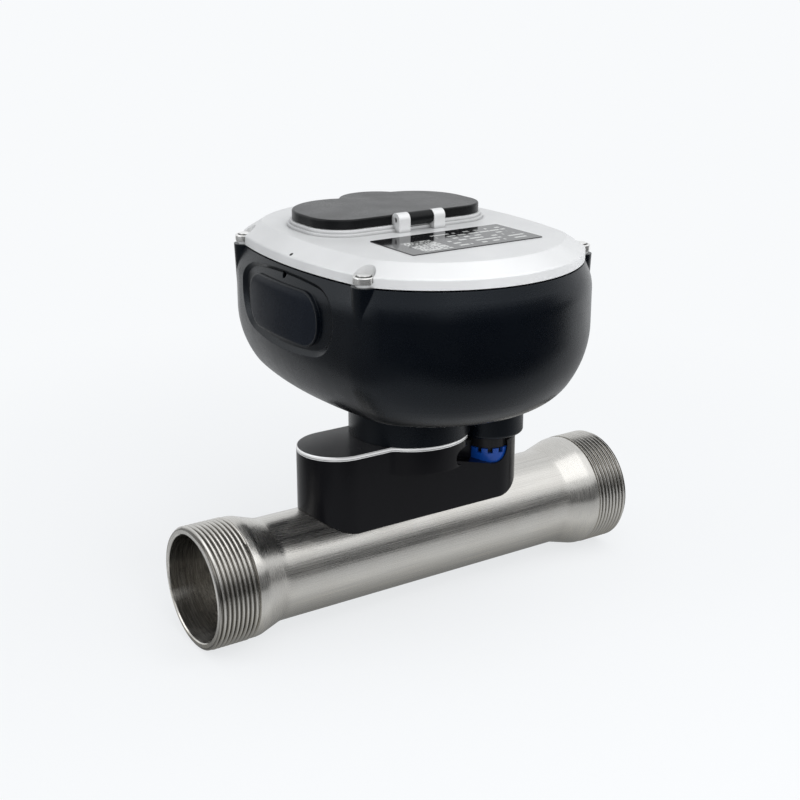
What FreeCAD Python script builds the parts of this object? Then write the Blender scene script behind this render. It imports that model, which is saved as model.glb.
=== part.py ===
import FreeCAD, Part
import os
import re
from math import acos, atan2, cos, degrees, hypot, radians, sin, sqrt

import Sketcher
from FreeCAD import Rotation, Vector

# Ultrasonic bulk flow meter with a threaded stainless tube and a sealed register head.
# X runs along the tube from inlet to outlet, Z is up, the origin is on the tube's axis at mid-length.

SIZES = [
    # Flow tube, with an outside pipe thread at both ends
    ("tube_length", 245.0, "end face to end face"),
    ("tube_diameter", 50.8, "outside of the plain middle"),
    ("bore_diameter", 43.0, "measuring bore"),
    ("thread_diameter", 59.614, "crest of the two inch pipe thread"),
    ("thread_end_chamfer", 1.2, "lead-in at each end face"),
    ("inlet_thread_length", 20.5, "threaded length at the inlet"),
    ("outlet_thread_length", 18.5, "threaded length at the outlet"),
    ("collar_diameter", 59.0, "plain collar behind each thread"),
    ("inlet_collar_length", 5.0, "plain collar at the inlet"),
    ("outlet_collar_length", 4.0, "plain collar at the outlet"),
    ("inlet_cone_length", 12.5, "taper down to the tube at the inlet"),
    ("outlet_cone_length", 15.0, "taper down to the tube at the outlet"),
    ("cone_round", 10.0, "blend at both ends of each taper"),
    ("mouth_diameter", 52.0, "counterbore at each end"),
    ("mouth_depth", 30.0, "length of the counterbore"),
    ("mouth_cone_length", 14.0, "taper from counterbore to bore"),
    # Transducers in the crown of the tube
    ("transducer_inset", 34.2, "each transducer's axis in from the saddle block's end"),
    ("stem_diameter", 12.0, "transducer stem in the tube wall"),
    ("cap_diameter", 16.0, "transducer cap"),
    ("cap_height", 6.0, "transducer cap"),
    ("seat_height", 24.0, "spot face above the tube's axis"),
    ("seal_thickness", 1.0, "flat ring under each cap"),
    # Saddle block on the tube
    ("block_length", 124.4, "over the round ends"),
    ("block_width", 39.6, "across the tube"),
    ("block_top", 54.2, "top of the inlet side above the axis"),
    ("block_low_top", 46.0, "top of the outlet side above the axis"),
    ("block_step", 19.0, "where the top steps down"),
    ("block_edge_round", 1.0, "outer edge of the low top"),
    ("saddle_clearance", 0.15, "bond line round the tube"),
    ("lobe_diameter", 60.0, "round pad under the neck"),
    ("lobe_bottom", 42.0, "underside of the round pad"),
    ("lobe_blend", 6.0, "hollow corner between pad and side wall"),
    ("plate_thickness", 2.0, "closing plate"),
    ("plate_chamfer", 0.5, "cut edge of the closing plate"),
    ("plate_hole_diameter", 30.0, "wire way through the closing plate"),
    ("block_cavity_width", 24.0, "wiring space in the block"),
    ("block_cavity_floor", 36.0, "wiring space in the block"),
    ("block_wall", 7.0, "round the wiring space"),
    ("cavity_round", 8.0, "corners of the wiring space"),
    ("wire_hole_diameter", 6.0, "up into the wiring space"),
    ("wire_way_diameter", 4.0, "from each transducer to the middle"),
    # Connector between block and head
    ("connector_inset", 18.5, "axis in from the block's outlet end"),
    ("connector_y", 7.4, "axis in front of the tube's axis"),
    ("pocket_floor", 34.6, "floor of the connector pocket"),
    ("pocket_clearance", 0.5, "round the locking ring"),
    ("slot_tip_x", 12.4, "centre of the finger slot's narrow end"),
    ("slot_tip_z", 46.2, "centre of the finger slot's narrow end"),
    ("slot_tip_radius", 4.0, "narrow end of the finger slot"),
    ("slot_mouth_offset", 4.2, "wide end of the finger slot, short of the connector's axis"),
    ("slot_mouth_z", 43.0, "centre of the finger slot's wide end"),
    ("slot_mouth_radius", 8.0, "wide end of the finger slot"),
    ("slot_back", 9.0, "back wall of the finger slot, in front of the axis"),
    ("ring_diameter", 22.6, "locking ring"),
    ("ring_height", 7.3, "locking ring"),
    ("ring_teeth", 12, "grip notches round the locking ring"),
    ("notch_depth", 2.4, "grip notch from the top"),
    ("notch_width", 2.6, "grip notch"),
    ("plug_collar_diameter", 21.4, "plug above the locking ring"),
    ("plug_stem_diameter", 18.0, "plug inside the locking ring"),
    ("socket_diameter", 15.0, "contact insert in the block"),
    ("socket_height", 6.0, "contact insert in the block"),
    ("contact_diameter", 2.0, "contact pin"),
    ("contact_circle", 8.0, "pitch circle of the contact pins"),
    ("contact_length", 6.0, "contact pin"),
    # Head outline, seen from above: two flat arcs, two round ends, four corners
    ("head_half_width", 71.6, "along the tube"),
    ("head_half_depth", 93.4, "across the tube"),
    ("side_radius", 250.0, "arcs that face along the tube"),
    ("end_radius", 76.0, "arcs that face across the tube"),
    ("corner_radius", 36.0, "corners between the arcs"),
    # Register housing
    ("bowl_bottom", 79.1, "underside above the tube's axis"),
    ("bowl_top", 147.0, "rim above the tube's axis"),
    ("bowl_slope_width", 15.0, "sloping part of the underside"),
    ("bowl_slope_height", 25.0, "sloping part of the underside"),
    ("bowl_upper_round", 48.0, "between wall and slope"),
    ("bowl_lower_round", 26.0, "between slope and flat underside"),
    ("shoulder_width", 3.8, "rim drawn in from the bulge"),
    ("shoulder_height", 9.0, "rim drawn in from the bulge"),
    ("shoulder_round", 20.0, "between wall and shoulder"),
    ("housing_wall", 3.2, "moulded wall"),
    ("neck_diameter", 61.0, "column on the closing plate"),
    ("neck_bore", 44.0, "wire way through the column"),
    ("neck_round", 11.0, "hollow corner under the bowl"),
    ("boss_width", 35.4, "connector boss"),
    ("boss_spacing", 16.0, "between the boss's end centres"),
    ("boss_bottom", 49.5, "underside of the boss"),
    ("boss_edge_round", 1.5, "lower edge of the boss"),
    ("neck_seal_height", 2.0, "seal ring under the neck"),
    ("neck_seal_width", 2.4, "seal ring under the neck"),
    ("neck_seal_diameter", 54.0, "outside of the seal ring"),
    ("plug_wire_diameter", 8.0, "wire way through the boss"),
    # Badge on the inlet face
    ("badge_dish_width", 102.4, "mouth of the hollow round the badge, ahead of the wall"),
    ("badge_dish_height", 47.8, "mouth of the hollow round the badge"),
    ("badge_dish_round", 23.5, "corner of the mouth"),
    ("badge_dish_rise", 2.4, "mouth above the badge's centre"),
    ("badge_dish_lead", 1.0, "mouth ahead of the wall"),
    ("badge_dish_reach", 7.0, "mouth to the bottom of the sloping sides"),
    ("badge_slope", 62.0, "sides of the hollow, in degrees from square"),
    ("badge_island_width", 63.6, "raised seat of the badge"),
    ("badge_island_height", 25.8, "raised seat of the badge"),
    ("badge_island_round", 11.8, "corner of the seat"),
    ("badge_width", 62.0, "badge plate"),
    ("badge_height", 24.2, "badge plate"),
    ("badge_round", 11.0, "corner of the badge plate"),
    ("badge_center_height", 126.9, "centre of the badge above the axis"),
    ("badge_offset", 1.8, "centre of the badge behind the head's middle"),
    ("badge_depth", 1.8, "hollow in the wall round the badge"),
    ("badge_thickness", 0.8, "badge plate"),
    ("seal_hole_diameter", 3.2, "for the sealing wire"),
    ("seal_hole_depth", 2.4, "for the sealing wire"),
    ("seal_hole_rise", 16.1, "centre of the hole above the badge's centre"),
    ("seal_hole_offset", 2.0, "centre of the hole behind the head's middle"),
    # Cover with screws and gasket
    ("gasket_thickness", 0.8, "flat gasket under the cover"),
    ("gasket_inset", 3.4, "gasket edge behind the rim"),
    ("gasket_width", 3.0, "flat gasket under the cover"),
    ("rim_land", 7.2, "flat seat for the gasket"),
    ("rim_depth", 4.0, "flange under the gasket"),
    ("cover_height", 10.2, "gasket to plateau"),
    ("skirt_height", 4.6, "upright edge of the cover"),
    ("bevel_width", 9.0, "sloping band of the cover"),
    ("bevel_hole_inset", 1.2, "seal hole, in from the cover's rim"),
    ("bevel_hole_offset", 2.8, "seal hole, ahead of the head's middle"),
    ("cover_wall", 3.0, "cast wall of the cover"),
    ("plateau_round", 2.0, "edge of the plateau"),
    ("skirt_round", 1.0, "edge above the skirt"),
    ("screw_spacing_x", 120.4, "cover screws along the tube"),
    ("screw_spacing_y", 108.2, "cover screws across the tube"),
    ("screw_head_diameter", 9.9, "cover screw"),
    ("screw_head_height", 2.8, "cover screw"),
    ("screw_head_bevel", 0.5, "upper edge of the cover screw"),
    ("screw_diameter", 4.0, "cover screw"),
    ("screw_length", 14.0, "below the head"),
    ("head_room", 0.3, "round the head of each cover screw"),
    ("ear_diameter", 7.6, "cover ear under each screw"),
    ("ear_thickness", 1.9, "cover ear under each screw"),
    ("lug_diameter", 11.4, "tapered lug under each ear"),
    ("lug_height", 18.5, "tapered lug under each ear"),
    ("lug_foot_diameter", 9.9, "foot of the tapered lug"),
    # Flap lid, its plinth and hinge
    ("lid_x", -1.0, "middle of the lid"),
    ("lid_front", 4.5, "front edge ahead of the head's middle"),
    ("lid_width", 93.6, "over the two side lobes"),
    ("lid_lobe_radius", 27.0, "side lobes"),
    ("lid_corner_radius", 17.0, "front corners"),
    ("lid_bump_radius", 19.0, "back lobe"),
    ("lid_bump_x", 6.0, "back lobe along the tube"),
    ("lid_bump_y", 38.5, "back lobe behind the head's middle"),
    ("lid_thickness", 4.4, "over all"),
    ("lid_rim", 2.2, "rim round the hollow underside"),
    ("lid_hollow", 1.4, "hollow underside"),
    ("lid_edge_round", 0.9, "upper edge"),
    ("lid_gap", 0.3, "lid above the plinth"),
    ("step_low_height", 1.4, "lower step of the plinth"),
    ("step_low_grow", 2.2, "lower step beyond the lid"),
    ("step_high_height", 1.6, "upper step of the plinth"),
    ("step_high_grow", 0.9, "upper step beyond the lid"),
    ("hinge_x", 0.2, "middle of the hinge"),
    ("hinge_y", 7.1, "pin ahead of the head's middle"),
    ("hinge_rise", 5.6, "pin above the plateau"),
    ("barrel_length", 13.0, "lid barrel between the knuckles"),
    ("barrel_diameter", 6.6, "lid barrel"),
    ("knuckle_width", 6.3, "along the pin"),
    ("knuckle_depth", 6.6, "across the pin"),
    ("pin_diameter", 2.4, "hinge pin"),
    ("pin_recess", 0.8, "pin end inside the knuckle"),
    ("hinge_gap", 0.3, "between moving faces"),
    ("running_clearance", 0.06, "round the pin and the plug"),
    ("fit_clearance", 0.02, "round seated pins and stems"),
    # Window, label, display and electronics
    ("window_width", 66.0, "glass"),
    ("window_depth", 34.0, "glass"),
    ("window_round", 3.0, "corner of the glass"),
    ("window_y", 19.0, "middle of the glass"),
    ("glass_thickness", 2.2, "glass"),
    ("ledge_width", 3.0, "seat under the glass"),
    ("window_seal_thickness", 0.6, "seal under the glass"),
    ("label_width", 72.4, "rating plate"),
    ("label_depth", 35.5, "rating plate"),
    ("label_x", 1.0, "middle of the rating plate"),
    ("label_y", 37.0, "middle of the rating plate ahead of the head's middle"),
    ("label_thickness", 0.4, "rating plate"),
    ("label_round", 1.0, "corner of the rating plate"),
    ("bevel_hole_diameter", 1.6, "for the sealing wire"),
    ("board_width", 84.0, "circuit board along the tube"),
    ("board_depth", 124.0, "circuit board across the tube"),
    ("board_thickness", 1.6, "circuit board"),
    ("board_round", 6.0, "corner of the circuit board"),
    ("board_height", 138.0, "underside above the tube's axis"),
    ("post_spacing_x", 56.0, "board posts along the tube"),
    ("post_spacing_y", 100.0, "board posts across the tube"),
    ("post_diameter", 8.0, "board posts"),
    ("board_screw_diameter", 3.0, "board screw"),
    ("board_screw_length", 8.0, "below the head"),
    ("board_screw_head", 5.6, "board screw"),
    ("board_screw_head_height", 2.2, "board screw"),
    ("display_width", 58.0, "display module"),
    ("display_depth", 26.0, "display module"),
    ("display_height", 15.5, "display module"),
    ("display_frame", 2.0, "edge round the display glass"),
    ("display_recess", 0.8, "display glass below the frame"),
    ("cell_diameter", 33.0, "battery cell"),
    ("cell_length", 58.0, "battery cell"),
    ("cell_spacing", 37.0, "between the two cells"),
    ("cell_cap_diameter", 9.0, "battery terminal"),
    ("cell_cap_height", 1.5, "battery terminal"),
    ("tray_floor", 2.0, "battery tray"),
    ("tray_wall", 2.0, "battery tray"),
    ("tray_height", 14.0, "battery tray"),
    ("cell_clearance", 0.3, "round each battery cell"),
]
SIZE_NAMES = {name for name, _, _ in SIZES}

# Heights and radii worked out from the sizes above
PLATE_TOP = "(block_top + plate_thickness)"
CAP_BASE = "(seat_height + seal_thickness)"
COVER_BASE = "(bowl_top + gasket_thickness)"
PLATEAU = f"({COVER_BASE} + cover_height)"
CONNECTOR_X = "(block_length / 2 - connector_inset)"
TRANSDUCER_X = "(block_length / 2 - transducer_inset)"
SLOPE_LENGTH = "sqrt(bowl_slope_width ^ 2 + bowl_slope_height ^ 2)"
SKIRT_TOP = f"({COVER_BASE} + skirt_height)"
EAR_TOP = f"({COVER_BASE} + ear_thickness)"
PLINTH_TOP = f"({PLATEAU} + step_low_height + step_high_height)"
LID_BASE = f"({PLINTH_TOP} + lid_gap)"
GLASS_SEAT = f"({PLINTH_TOP} - lid_gap - glass_thickness - window_seal_thickness)"
HINGE_Z = f"({PLATEAU} + hinge_rise)"
FLOOR = "(bowl_bottom + housing_wall)"
BOARD_TOP = "(board_height + board_thickness)"
RING_BASE = "(pocket_floor + hinge_gap)"
RING_TOP = f"({RING_BASE} + ring_height)"
RING_BORE = "(plug_stem_diameter / 2 + running_clearance)"
SOCKET_TOP = RING_BASE

doc = FreeCAD.newDocument("flow_meter")
sheet = doc.addObject("Spreadsheet::Sheet", "Sizes")
for row, (name, value, note) in enumerate(SIZES, start=1):
    sheet.set(f"A{row}", str(value))
    sheet.setAlias(f"A{row}", name)
    sheet.set(f"B{row}", note)
doc.recompute()


def bound(text):
    """Turn a formula on size names into one that reads the sheet."""
    return re.sub(r"[a-z]\w*", lambda word: f"Sizes.{word[0]}" if word[0] in SIZE_NAMES else word[0], text)


def number(text):
    """Work out a formula on size names."""
    return float(sheet.evalExpression(bound(text)))


def bind(thing, path, text):
    """Tie a property of a document object to a formula on size names."""
    thing.setExpression(path, bound(text))


def put(thing, x="0", y="0", z="0"):
    """Tie an object's position to formulas."""
    for axis, text in zip("xyz", (x, y, z)):
        bind(thing, f"Placement.Base.{axis}", text)
    return thing


# Sketch helpers

def start_sketch(owner, name, plane="XY_Plane", offset="0"):
    """Start a sketch on one of the body's own planes, moved along its normal."""
    sketch = owner.newObject("Sketcher::SketchObject", name)
    support = next(item for item in owner.Origin.OriginFeatures if item.Role == plane)
    sketch.AttachmentSupport = [(support, "")]
    sketch.MapMode = "FlatFace"
    bind(sketch, "AttachmentOffset.Base.z", offset)
    return sketch


def dimension(sketch, kind, references, text):
    """Add a dimension that follows a formula."""
    index = sketch.addConstraint(Sketcher.Constraint(kind, *references, number(text)))
    bind(sketch, f"Constraints[{index}]", text)


def place_point(sketch, geometry, point, across, up):
    """Hold a point of a sketch at formulas for its two coordinates."""
    for kind, axis, text in (("DistanceX", -2, across), ("DistanceY", -1, up)):
        distance = number(text)
        if abs(distance) < 1e-9:
            sketch.addConstraint(Sketcher.Constraint("PointOnObject", geometry, point, axis))
        elif distance > 0:
            dimension(sketch, kind, (-1, 1, geometry, point), text)
        else:
            dimension(sketch, kind, (geometry, point, -1, 1), f"-({text})")


class Outline:
    """A closed loop of lines and arcs in one sketch, drawn piece by piece."""

    def __init__(self, sketch):
        self.sketch = sketch
        self.pieces = []

    def line(self, start, end):
        segment = Part.LineSegment(Vector(*start, 0), Vector(*end, 0))
        geometry = self.sketch.addGeometry(segment, False)
        self.pieces.append((geometry, 1, 2))
        return geometry

    def arc(self, centre, radius, first, last):
        """Travel round a centre from one angle to another, in degrees."""
        circle = Part.Circle(Vector(*centre, 0), Vector(0, 0, 1), radius)
        low, high = sorted((first, last))
        geometry = self.sketch.addGeometry(Part.ArcOfCircle(circle, radians(low), radians(high)), False)
        self.pieces.append((geometry, 1, 2) if last > first else (geometry, 2, 1))
        return geometry

    def join(self, corners=()):
        """Tie each piece to the next, tangent unless its index is a corner."""
        for index, (geometry, _, end) in enumerate(self.pieces):
            following, start, _ = self.pieces[(index + 1) % len(self.pieces)]
            kind = "Coincident" if index in corners else "Tangent"
            self.sketch.addConstraint(Sketcher.Constraint(kind, geometry, end, following, start))

    def fix_arc(self, geometry, across, up, radius):
        place_point(self.sketch, geometry, 3, across, up)
        dimension(self.sketch, "Radius", (geometry,), radius)


def draw_profile(sketch, points):
    """Draw a closed polygon whose corners follow formulas."""
    places = [(number(across), number(up)) for across, up in points]
    outline = Outline(sketch)
    for index, place in enumerate(places):
        outline.line(place, places[(index + 1) % len(places)])
    outline.join(corners=range(len(places)))
    for (geometry, start, _), (across, up) in zip(outline.pieces, points):
        place_point(sketch, geometry, start, across, up)


def draw_rounded_rectangle(sketch, across, up, width, height, radius):
    """Draw a rectangle with round corners about a centre."""
    corner = number(radius)
    reach_x = number(f"({width}) / 2 - ({radius})")
    reach_y = number(f"({height}) / 2 - ({radius})")
    middle_x, middle_y = number(across), number(up)
    outline = Outline(sketch)
    arcs = []
    for turn, (side_x, side_y) in enumerate(((1, -1), (1, 1), (-1, 1), (-1, -1))):
        centre = (middle_x + side_x * reach_x, middle_y + side_y * reach_y)
        first = -90 + 90 * turn
        arcs.append((outline.arc(centre, corner, first, first + 90), side_x, side_y))
        end = (centre[0] + corner * cos(radians(first + 90)), centre[1] + corner * sin(radians(first + 90)))
        travel = (2 * reach_y, 2 * reach_x)[turn % 2]
        heading = radians(first + 180)
        outline.line(end, (end[0] + travel * cos(heading), end[1] + travel * sin(heading)))
    outline.join()
    for geometry, side_x, side_y in arcs:
        outline.fix_arc(geometry, f"({across}) + {side_x} * (({width}) / 2 - ({radius}))",
                        f"({up}) + {side_y} * (({height}) / 2 - ({radius}))", radius)


def draw_stadium(sketch, across, up, reach, radius, upright=False):
    """Draw two half circles joined by straight sides, their centres a reach from the middle."""
    middle_x, middle_y, run, round_end = (number(text) for text in (across, up, reach, radius))
    turn = 90 if upright else 0
    along = Vector(cos(radians(turn)), sin(radians(turn)), 0)
    left = Vector(-along.y, along.x, 0)
    middle = Vector(middle_x, middle_y, 0)
    outline = Outline(sketch)
    ends = []
    for side in (1, -1):
        centre = middle + along * (side * run)
        first = turn - 90 * side if side > 0 else turn + 90
        ends.append((outline.arc((centre.x, centre.y), round_end, first, first + 180), side))
        start = centre + left * (side * round_end)
        finish = start - along * (side * 2 * run)
        outline.line((start.x, start.y), (finish.x, finish.y))
    outline.join()
    for geometry, side in ends:
        step = f"{side} * ({reach})"
        centre_x = across if upright else f"({across}) + {step}"
        centre_y = f"({up}) + {step}" if upright else up
        outline.fix_arc(geometry, centre_x, centre_y, radius)


def draw_head_outline(sketch, inset="0"):
    """Draw the head's plan, drawn in evenly by an inset."""
    side, end, corner = (number(f"{name} - ({inset})") for name in ("side_radius", "end_radius",
                                                                    "corner_radius"))
    side_x = number("head_half_width - side_radius")
    end_y = number("head_half_depth - end_radius")
    # The corner's centre lies a known distance from the centres of both arcs beside it
    span = hypot(side_x, end_y)
    bearing = atan2(end_y, -side_x)
    reach = side - corner
    swing = acos((reach ** 2 + span ** 2 - (end - corner) ** 2) / (2 * reach * span))
    corner_x = side_x + reach * cos(bearing - swing)
    corner_y = reach * sin(bearing - swing)
    if corner_y < 0 or corner_x < 0:
        corner_x = side_x + reach * cos(bearing + swing)
        corner_y = reach * sin(bearing + swing)
    low = degrees(atan2(corner_y, corner_x - side_x))
    high = degrees(atan2(corner_y - end_y, corner_x))
    outline = Outline(sketch)
    fixed = []
    for flip in (1, -1):
        half_turn = 0 if flip > 0 else 180
        fixed.append((outline.arc((flip * side_x, 0), side, half_turn - low, half_turn + low), "side",
                      flip))
        fixed.append((outline.arc((flip * corner_x, flip * corner_y), corner,
                                  half_turn + low, half_turn + high), "corner", flip))
        fixed.append((outline.arc((0, flip * end_y), end, half_turn + high, half_turn + 180 - high), "end",
                      flip))
        fixed.append((outline.arc((-flip * corner_x, flip * corner_y), corner,
                                  half_turn + 180 - high, half_turn + 180 - low), "corner", flip))
    outline.join()
    for geometry, kind, flip in fixed:
        if kind == "side":
            outline.fix_arc(geometry, f"{flip} * (head_half_width - side_radius)", "0",
                            f"side_radius - ({inset})")
        elif kind == "end":
            outline.fix_arc(geometry, "0", f"{flip} * (head_half_depth - end_radius)",
                            f"end_radius - ({inset})")
        else:
            dimension(sketch, "Radius", (geometry,), f"corner_radius - ({inset})")


def draw_block_top(sketch, inset="0"):
    """Draw the top of the saddle block: a round end, straight sides and the round pad, cut at the step."""
    pad, blend = number(f"lobe_diameter / 2 - ({inset})"), number(f"lobe_blend + ({inset})")
    side, half_run = number(f"block_width / 2 - ({inset})"), number("block_length / 2 - block_width / 2")
    cut = number(f"block_step - ({inset})")
    cut_y = sqrt(pad ** 2 - cut ** 2)
    blend_y = side + blend
    blend_x = -sqrt((pad + blend) ** 2 - blend_y ** 2)
    meet = degrees(atan2(blend_y, blend_x))
    corner = degrees(atan2(cut_y, cut))
    outline = Outline(sketch)
    edge = outline.line((cut, -cut_y), (cut, cut_y))
    back_pad = outline.arc((0, 0), pad, corner, meet)
    back_blend = outline.arc((blend_x, blend_y), blend, meet - 180, -90)
    back_side = outline.line((blend_x, side), (-half_run, side))
    end = outline.arc((-half_run, 0), side, 90, 270)
    front_side = outline.line((-half_run, -side), (blend_x, -side))
    front_blend = outline.arc((blend_x, -blend_y), blend, 90, 180 - meet)
    front_pad = outline.arc((0, 0), pad, 360 - meet, 360 - corner)
    outline.join(corners=(0, 7))
    for geometry in (back_pad, front_pad):
        outline.fix_arc(geometry, "0", "0", f"lobe_diameter / 2 - ({inset})")
    outline.fix_arc(end, "block_width / 2 - block_length / 2", "0", f"block_width / 2 - ({inset})")
    for geometry in (back_blend, front_blend):
        dimension(sketch, "Radius", (geometry,), f"lobe_blend + ({inset})")
    for geometry in (back_side, front_side):
        sketch.addConstraint(Sketcher.Constraint("Horizontal", geometry))
    sketch.addConstraint(Sketcher.Constraint("Vertical", edge))
    dimension(sketch, "DistanceX", (-1, 1, edge, 1), f"block_step - ({inset})")


def draw_finger_slot(sketch):
    """Draw a tapered slot: a narrow round end, a wide round end and the two lines that touch both."""
    tip = (number("slot_tip_x"), number("slot_tip_z"))
    mouth = (number(f"{CONNECTOR_X} - slot_mouth_offset"), number("slot_mouth_z"))
    small, large = number("slot_tip_radius"), number("slot_mouth_radius")
    bearing = degrees(atan2(mouth[1] - tip[1], mouth[0] - tip[0]))
    lean = degrees(acos((small - large) / hypot(mouth[0] - tip[0], mouth[1] - tip[1])))

    def rim(centre, radius, angle):
        return (centre[0] + radius * cos(radians(angle)), centre[1] + radius * sin(radians(angle)))

    outline = Outline(sketch)
    narrow = outline.arc(tip, small, bearing + lean, bearing - lean + 360)
    outline.line(rim(tip, small, bearing - lean), rim(mouth, large, bearing - lean))
    wide = outline.arc(mouth, large, bearing - lean, bearing + lean)
    outline.line(rim(mouth, large, bearing + lean), rim(tip, small, bearing + lean))
    outline.join()
    outline.fix_arc(narrow, "slot_tip_x", "slot_tip_z", "slot_tip_radius")
    outline.fix_arc(wide, f"{CONNECTOR_X} - slot_mouth_offset", "slot_mouth_z", "slot_mouth_radius")


def draw_lid_outline(sketch, grow="0"):
    """Draw the lid's plan: straight front, two side lobes and one lobe at the back."""
    lobe, corner, bump = (number(f"{name} + ({grow})")
                          for name in ("lid_lobe_radius", "lid_corner_radius", "lid_bump_radius"))
    middle = number("lid_x")
    lobe_x = number("lid_width / 2 - lid_lobe_radius")
    corner_x = number("lid_width / 2 - lid_corner_radius")
    lobe_y = number("lid_lobe_radius - lid_front")
    corner_y = number("lid_corner_radius - lid_front")
    front = number(f"-(lid_front + ({grow}))")
    bump_place = (number("lid_bump_x"), number("lid_bump_y"))

    def dip(side):
        """Angles at which a side lobe and the back lobe cross, seen from both centres."""
        place = (middle + side * lobe_x, lobe_y)
        across, up = bump_place[0] - place[0], bump_place[1] - place[1]
        span = hypot(across, up)
        bearing = atan2(up, across)
        swing = acos((span ** 2 + lobe ** 2 - bump ** 2) / (2 * span * lobe))
        angle = bearing + swing if side < 0 else bearing - swing
        cross = (place[0] + lobe * cos(angle), place[1] + lobe * sin(angle))
        return degrees(angle), degrees(atan2(cross[1] - bump_place[1], cross[0] - bump_place[0]))

    right_lobe_end, bump_start = dip(1)
    left_lobe_start, bump_end = dip(-1)
    outline = Outline(sketch)
    outline.line((middle - corner_x, front), (middle + corner_x, front))
    front_right = outline.arc((middle + corner_x, corner_y), corner, -90, 0)
    edge = number(f"lid_width / 2 + ({grow})")
    outline.line((middle + edge, corner_y), (middle + edge, lobe_y))
    right_lobe = outline.arc((middle + lobe_x, lobe_y), lobe, 0, right_lobe_end)
    back_lobe = outline.arc(bump_place, bump, bump_start, bump_end)
    left_lobe = outline.arc((middle - lobe_x, lobe_y), lobe, left_lobe_start, 180)
    outline.line((middle - edge, lobe_y), (middle - edge, corner_y))
    front_left = outline.arc((middle - corner_x, corner_y), corner, 180, 270)
    outline.join(corners=(3, 4))
    for geometry, side in ((right_lobe, 1), (left_lobe, -1)):
        outline.fix_arc(geometry, f"lid_x + {side} * (lid_width / 2 - lid_lobe_radius)",
                        "lid_lobe_radius - lid_front", f"lid_lobe_radius + ({grow})")
    for geometry, side in ((front_right, 1), (front_left, -1)):
        outline.fix_arc(geometry, f"lid_x + {side} * (lid_width / 2 - lid_corner_radius)",
                        "lid_corner_radius - lid_front", f"lid_corner_radius + ({grow})")
    outline.fix_arc(back_lobe, "lid_bump_x", "lid_bump_y", f"lid_bump_radius + ({grow})")


# Solid helpers

def new_body(name):
    return doc.addObject("PartDesign::Body", name)


def pad(owner, sketch, length, reverse=False):
    feature = owner.newObject("PartDesign::Pad", f"{sketch.Name}Pad")
    feature.Profile = sketch
    feature.Reversed = reverse
    bind(feature, "Length", length)
    doc.recompute()
    return feature


def pocket(owner, sketch, length, reverse=False):
    feature = owner.newObject("PartDesign::Pocket", f"{sketch.Name}Pocket")
    feature.Profile = sketch
    feature.Reversed = reverse
    bind(feature, "Length", length)
    doc.recompute()
    return feature


def level_edges(feature, height):
    """Name the edges of a feature that lie flat at a height."""
    wanted = number(height)
    names = []
    for index, edge in enumerate(feature.Shape.Edges, start=1):
        box = edge.BoundBox
        if abs(box.ZMin - wanted) < 1e-4 and abs(box.ZMax - wanted) < 1e-4:
            names.append(f"Edge{index}")
    return names


def ring_edges(feature, place):
    """Name the edges of a feature that circle the tube's axis at one place along it."""
    wanted = number(place)
    names = []
    for index, edge in enumerate(feature.Shape.Edges, start=1):
        span = edge.BoundBox
        if abs(span.XMin - wanted) < 1e-4 and abs(span.XMax - wanted) < 1e-4:
            names.append(f"Edge{index}")
    return names


def fillet(owner, feature, edges, radius):
    rounded = owner.newObject("PartDesign::Fillet", f"{feature.Name}Fillet")
    rounded.Base = (feature, edges)
    bind(rounded, "Radius", radius)
    doc.recompute()
    return rounded


def chamfer(owner, feature, edges, inward, drop=None):
    """Cut flat edges by a distance inward and, where it differs, another down the wall."""
    cut_edge = owner.newObject("PartDesign::Chamfer", f"{feature.Name}Chamfer")
    cut_edge.Base = (feature, edges)
    bind(cut_edge, "Size", inward)
    if drop:
        cut_edge.ChamferType = "Two distances"
        cut_edge.FlipDirection = True
        bind(cut_edge, "Size2", drop)
    doc.recompute()
    return cut_edge


def prism(name, draw, base, height, plane="XY_Plane"):
    """Make a body by drawing one outline and raising it from a base height."""
    owner = new_body(name)
    sketch = start_sketch(owner, f"{name}Sketch", plane, base)
    draw(sketch)
    pad(owner, sketch, height)
    return owner


def cylinder(name, radius, height, x="0", y="0", z="0", axis=Vector(0, 0, 1)):
    rod = doc.addObject("Part::Cylinder", name)
    rod.Placement = FreeCAD.Placement(Vector(), Rotation(Vector(0, 0, 1), axis))
    bind(rod, "Radius", radius)
    bind(rod, "Height", height)
    return put(rod, x, y, z)


def cone(name, lower, upper, height, x, y, z):
    solid = doc.addObject("Part::Cone", name)
    bind(solid, "Radius1", lower)
    bind(solid, "Radius2", upper)
    bind(solid, "Height", height)
    return put(solid, x, y, z)


def box(name, sizes, x, y, z):
    """Make a box from its low corner."""
    block = doc.addObject("Part::Box", name)
    for side, text in zip(("Length", "Width", "Height"), sizes):
        bind(block, side, text)
    return put(block, x, y, z)


def fuse(name, pieces):
    if len(pieces) == 1:
        return pieces[0]
    joined = doc.addObject("Part::MultiFuse", name)
    joined.Shapes = pieces
    joined.Refine = True
    return joined


def cut(name, base, tools):
    difference = doc.addObject("Part::Cut", name)
    difference.Base = base
    difference.Tool = fuse(f"{name}Tools", tools)
    difference.Refine = True
    return difference


def common(name, first, second):
    shared = doc.addObject("Part::Common", name)
    shared.Base = first
    shared.Tool = second
    return shared


def group(name, pieces):
    """Keep identical solids together, each a solid of its own."""
    bundle = doc.addObject("Part::Compound", name)
    bundle.Links = pieces
    return bundle


NODES = {}


def finish(label, thing):
    """Register a finished sub-part under the name of its file."""
    thing.Label = label
    NODES[label] = thing


# Flow tube and transducers

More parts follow.
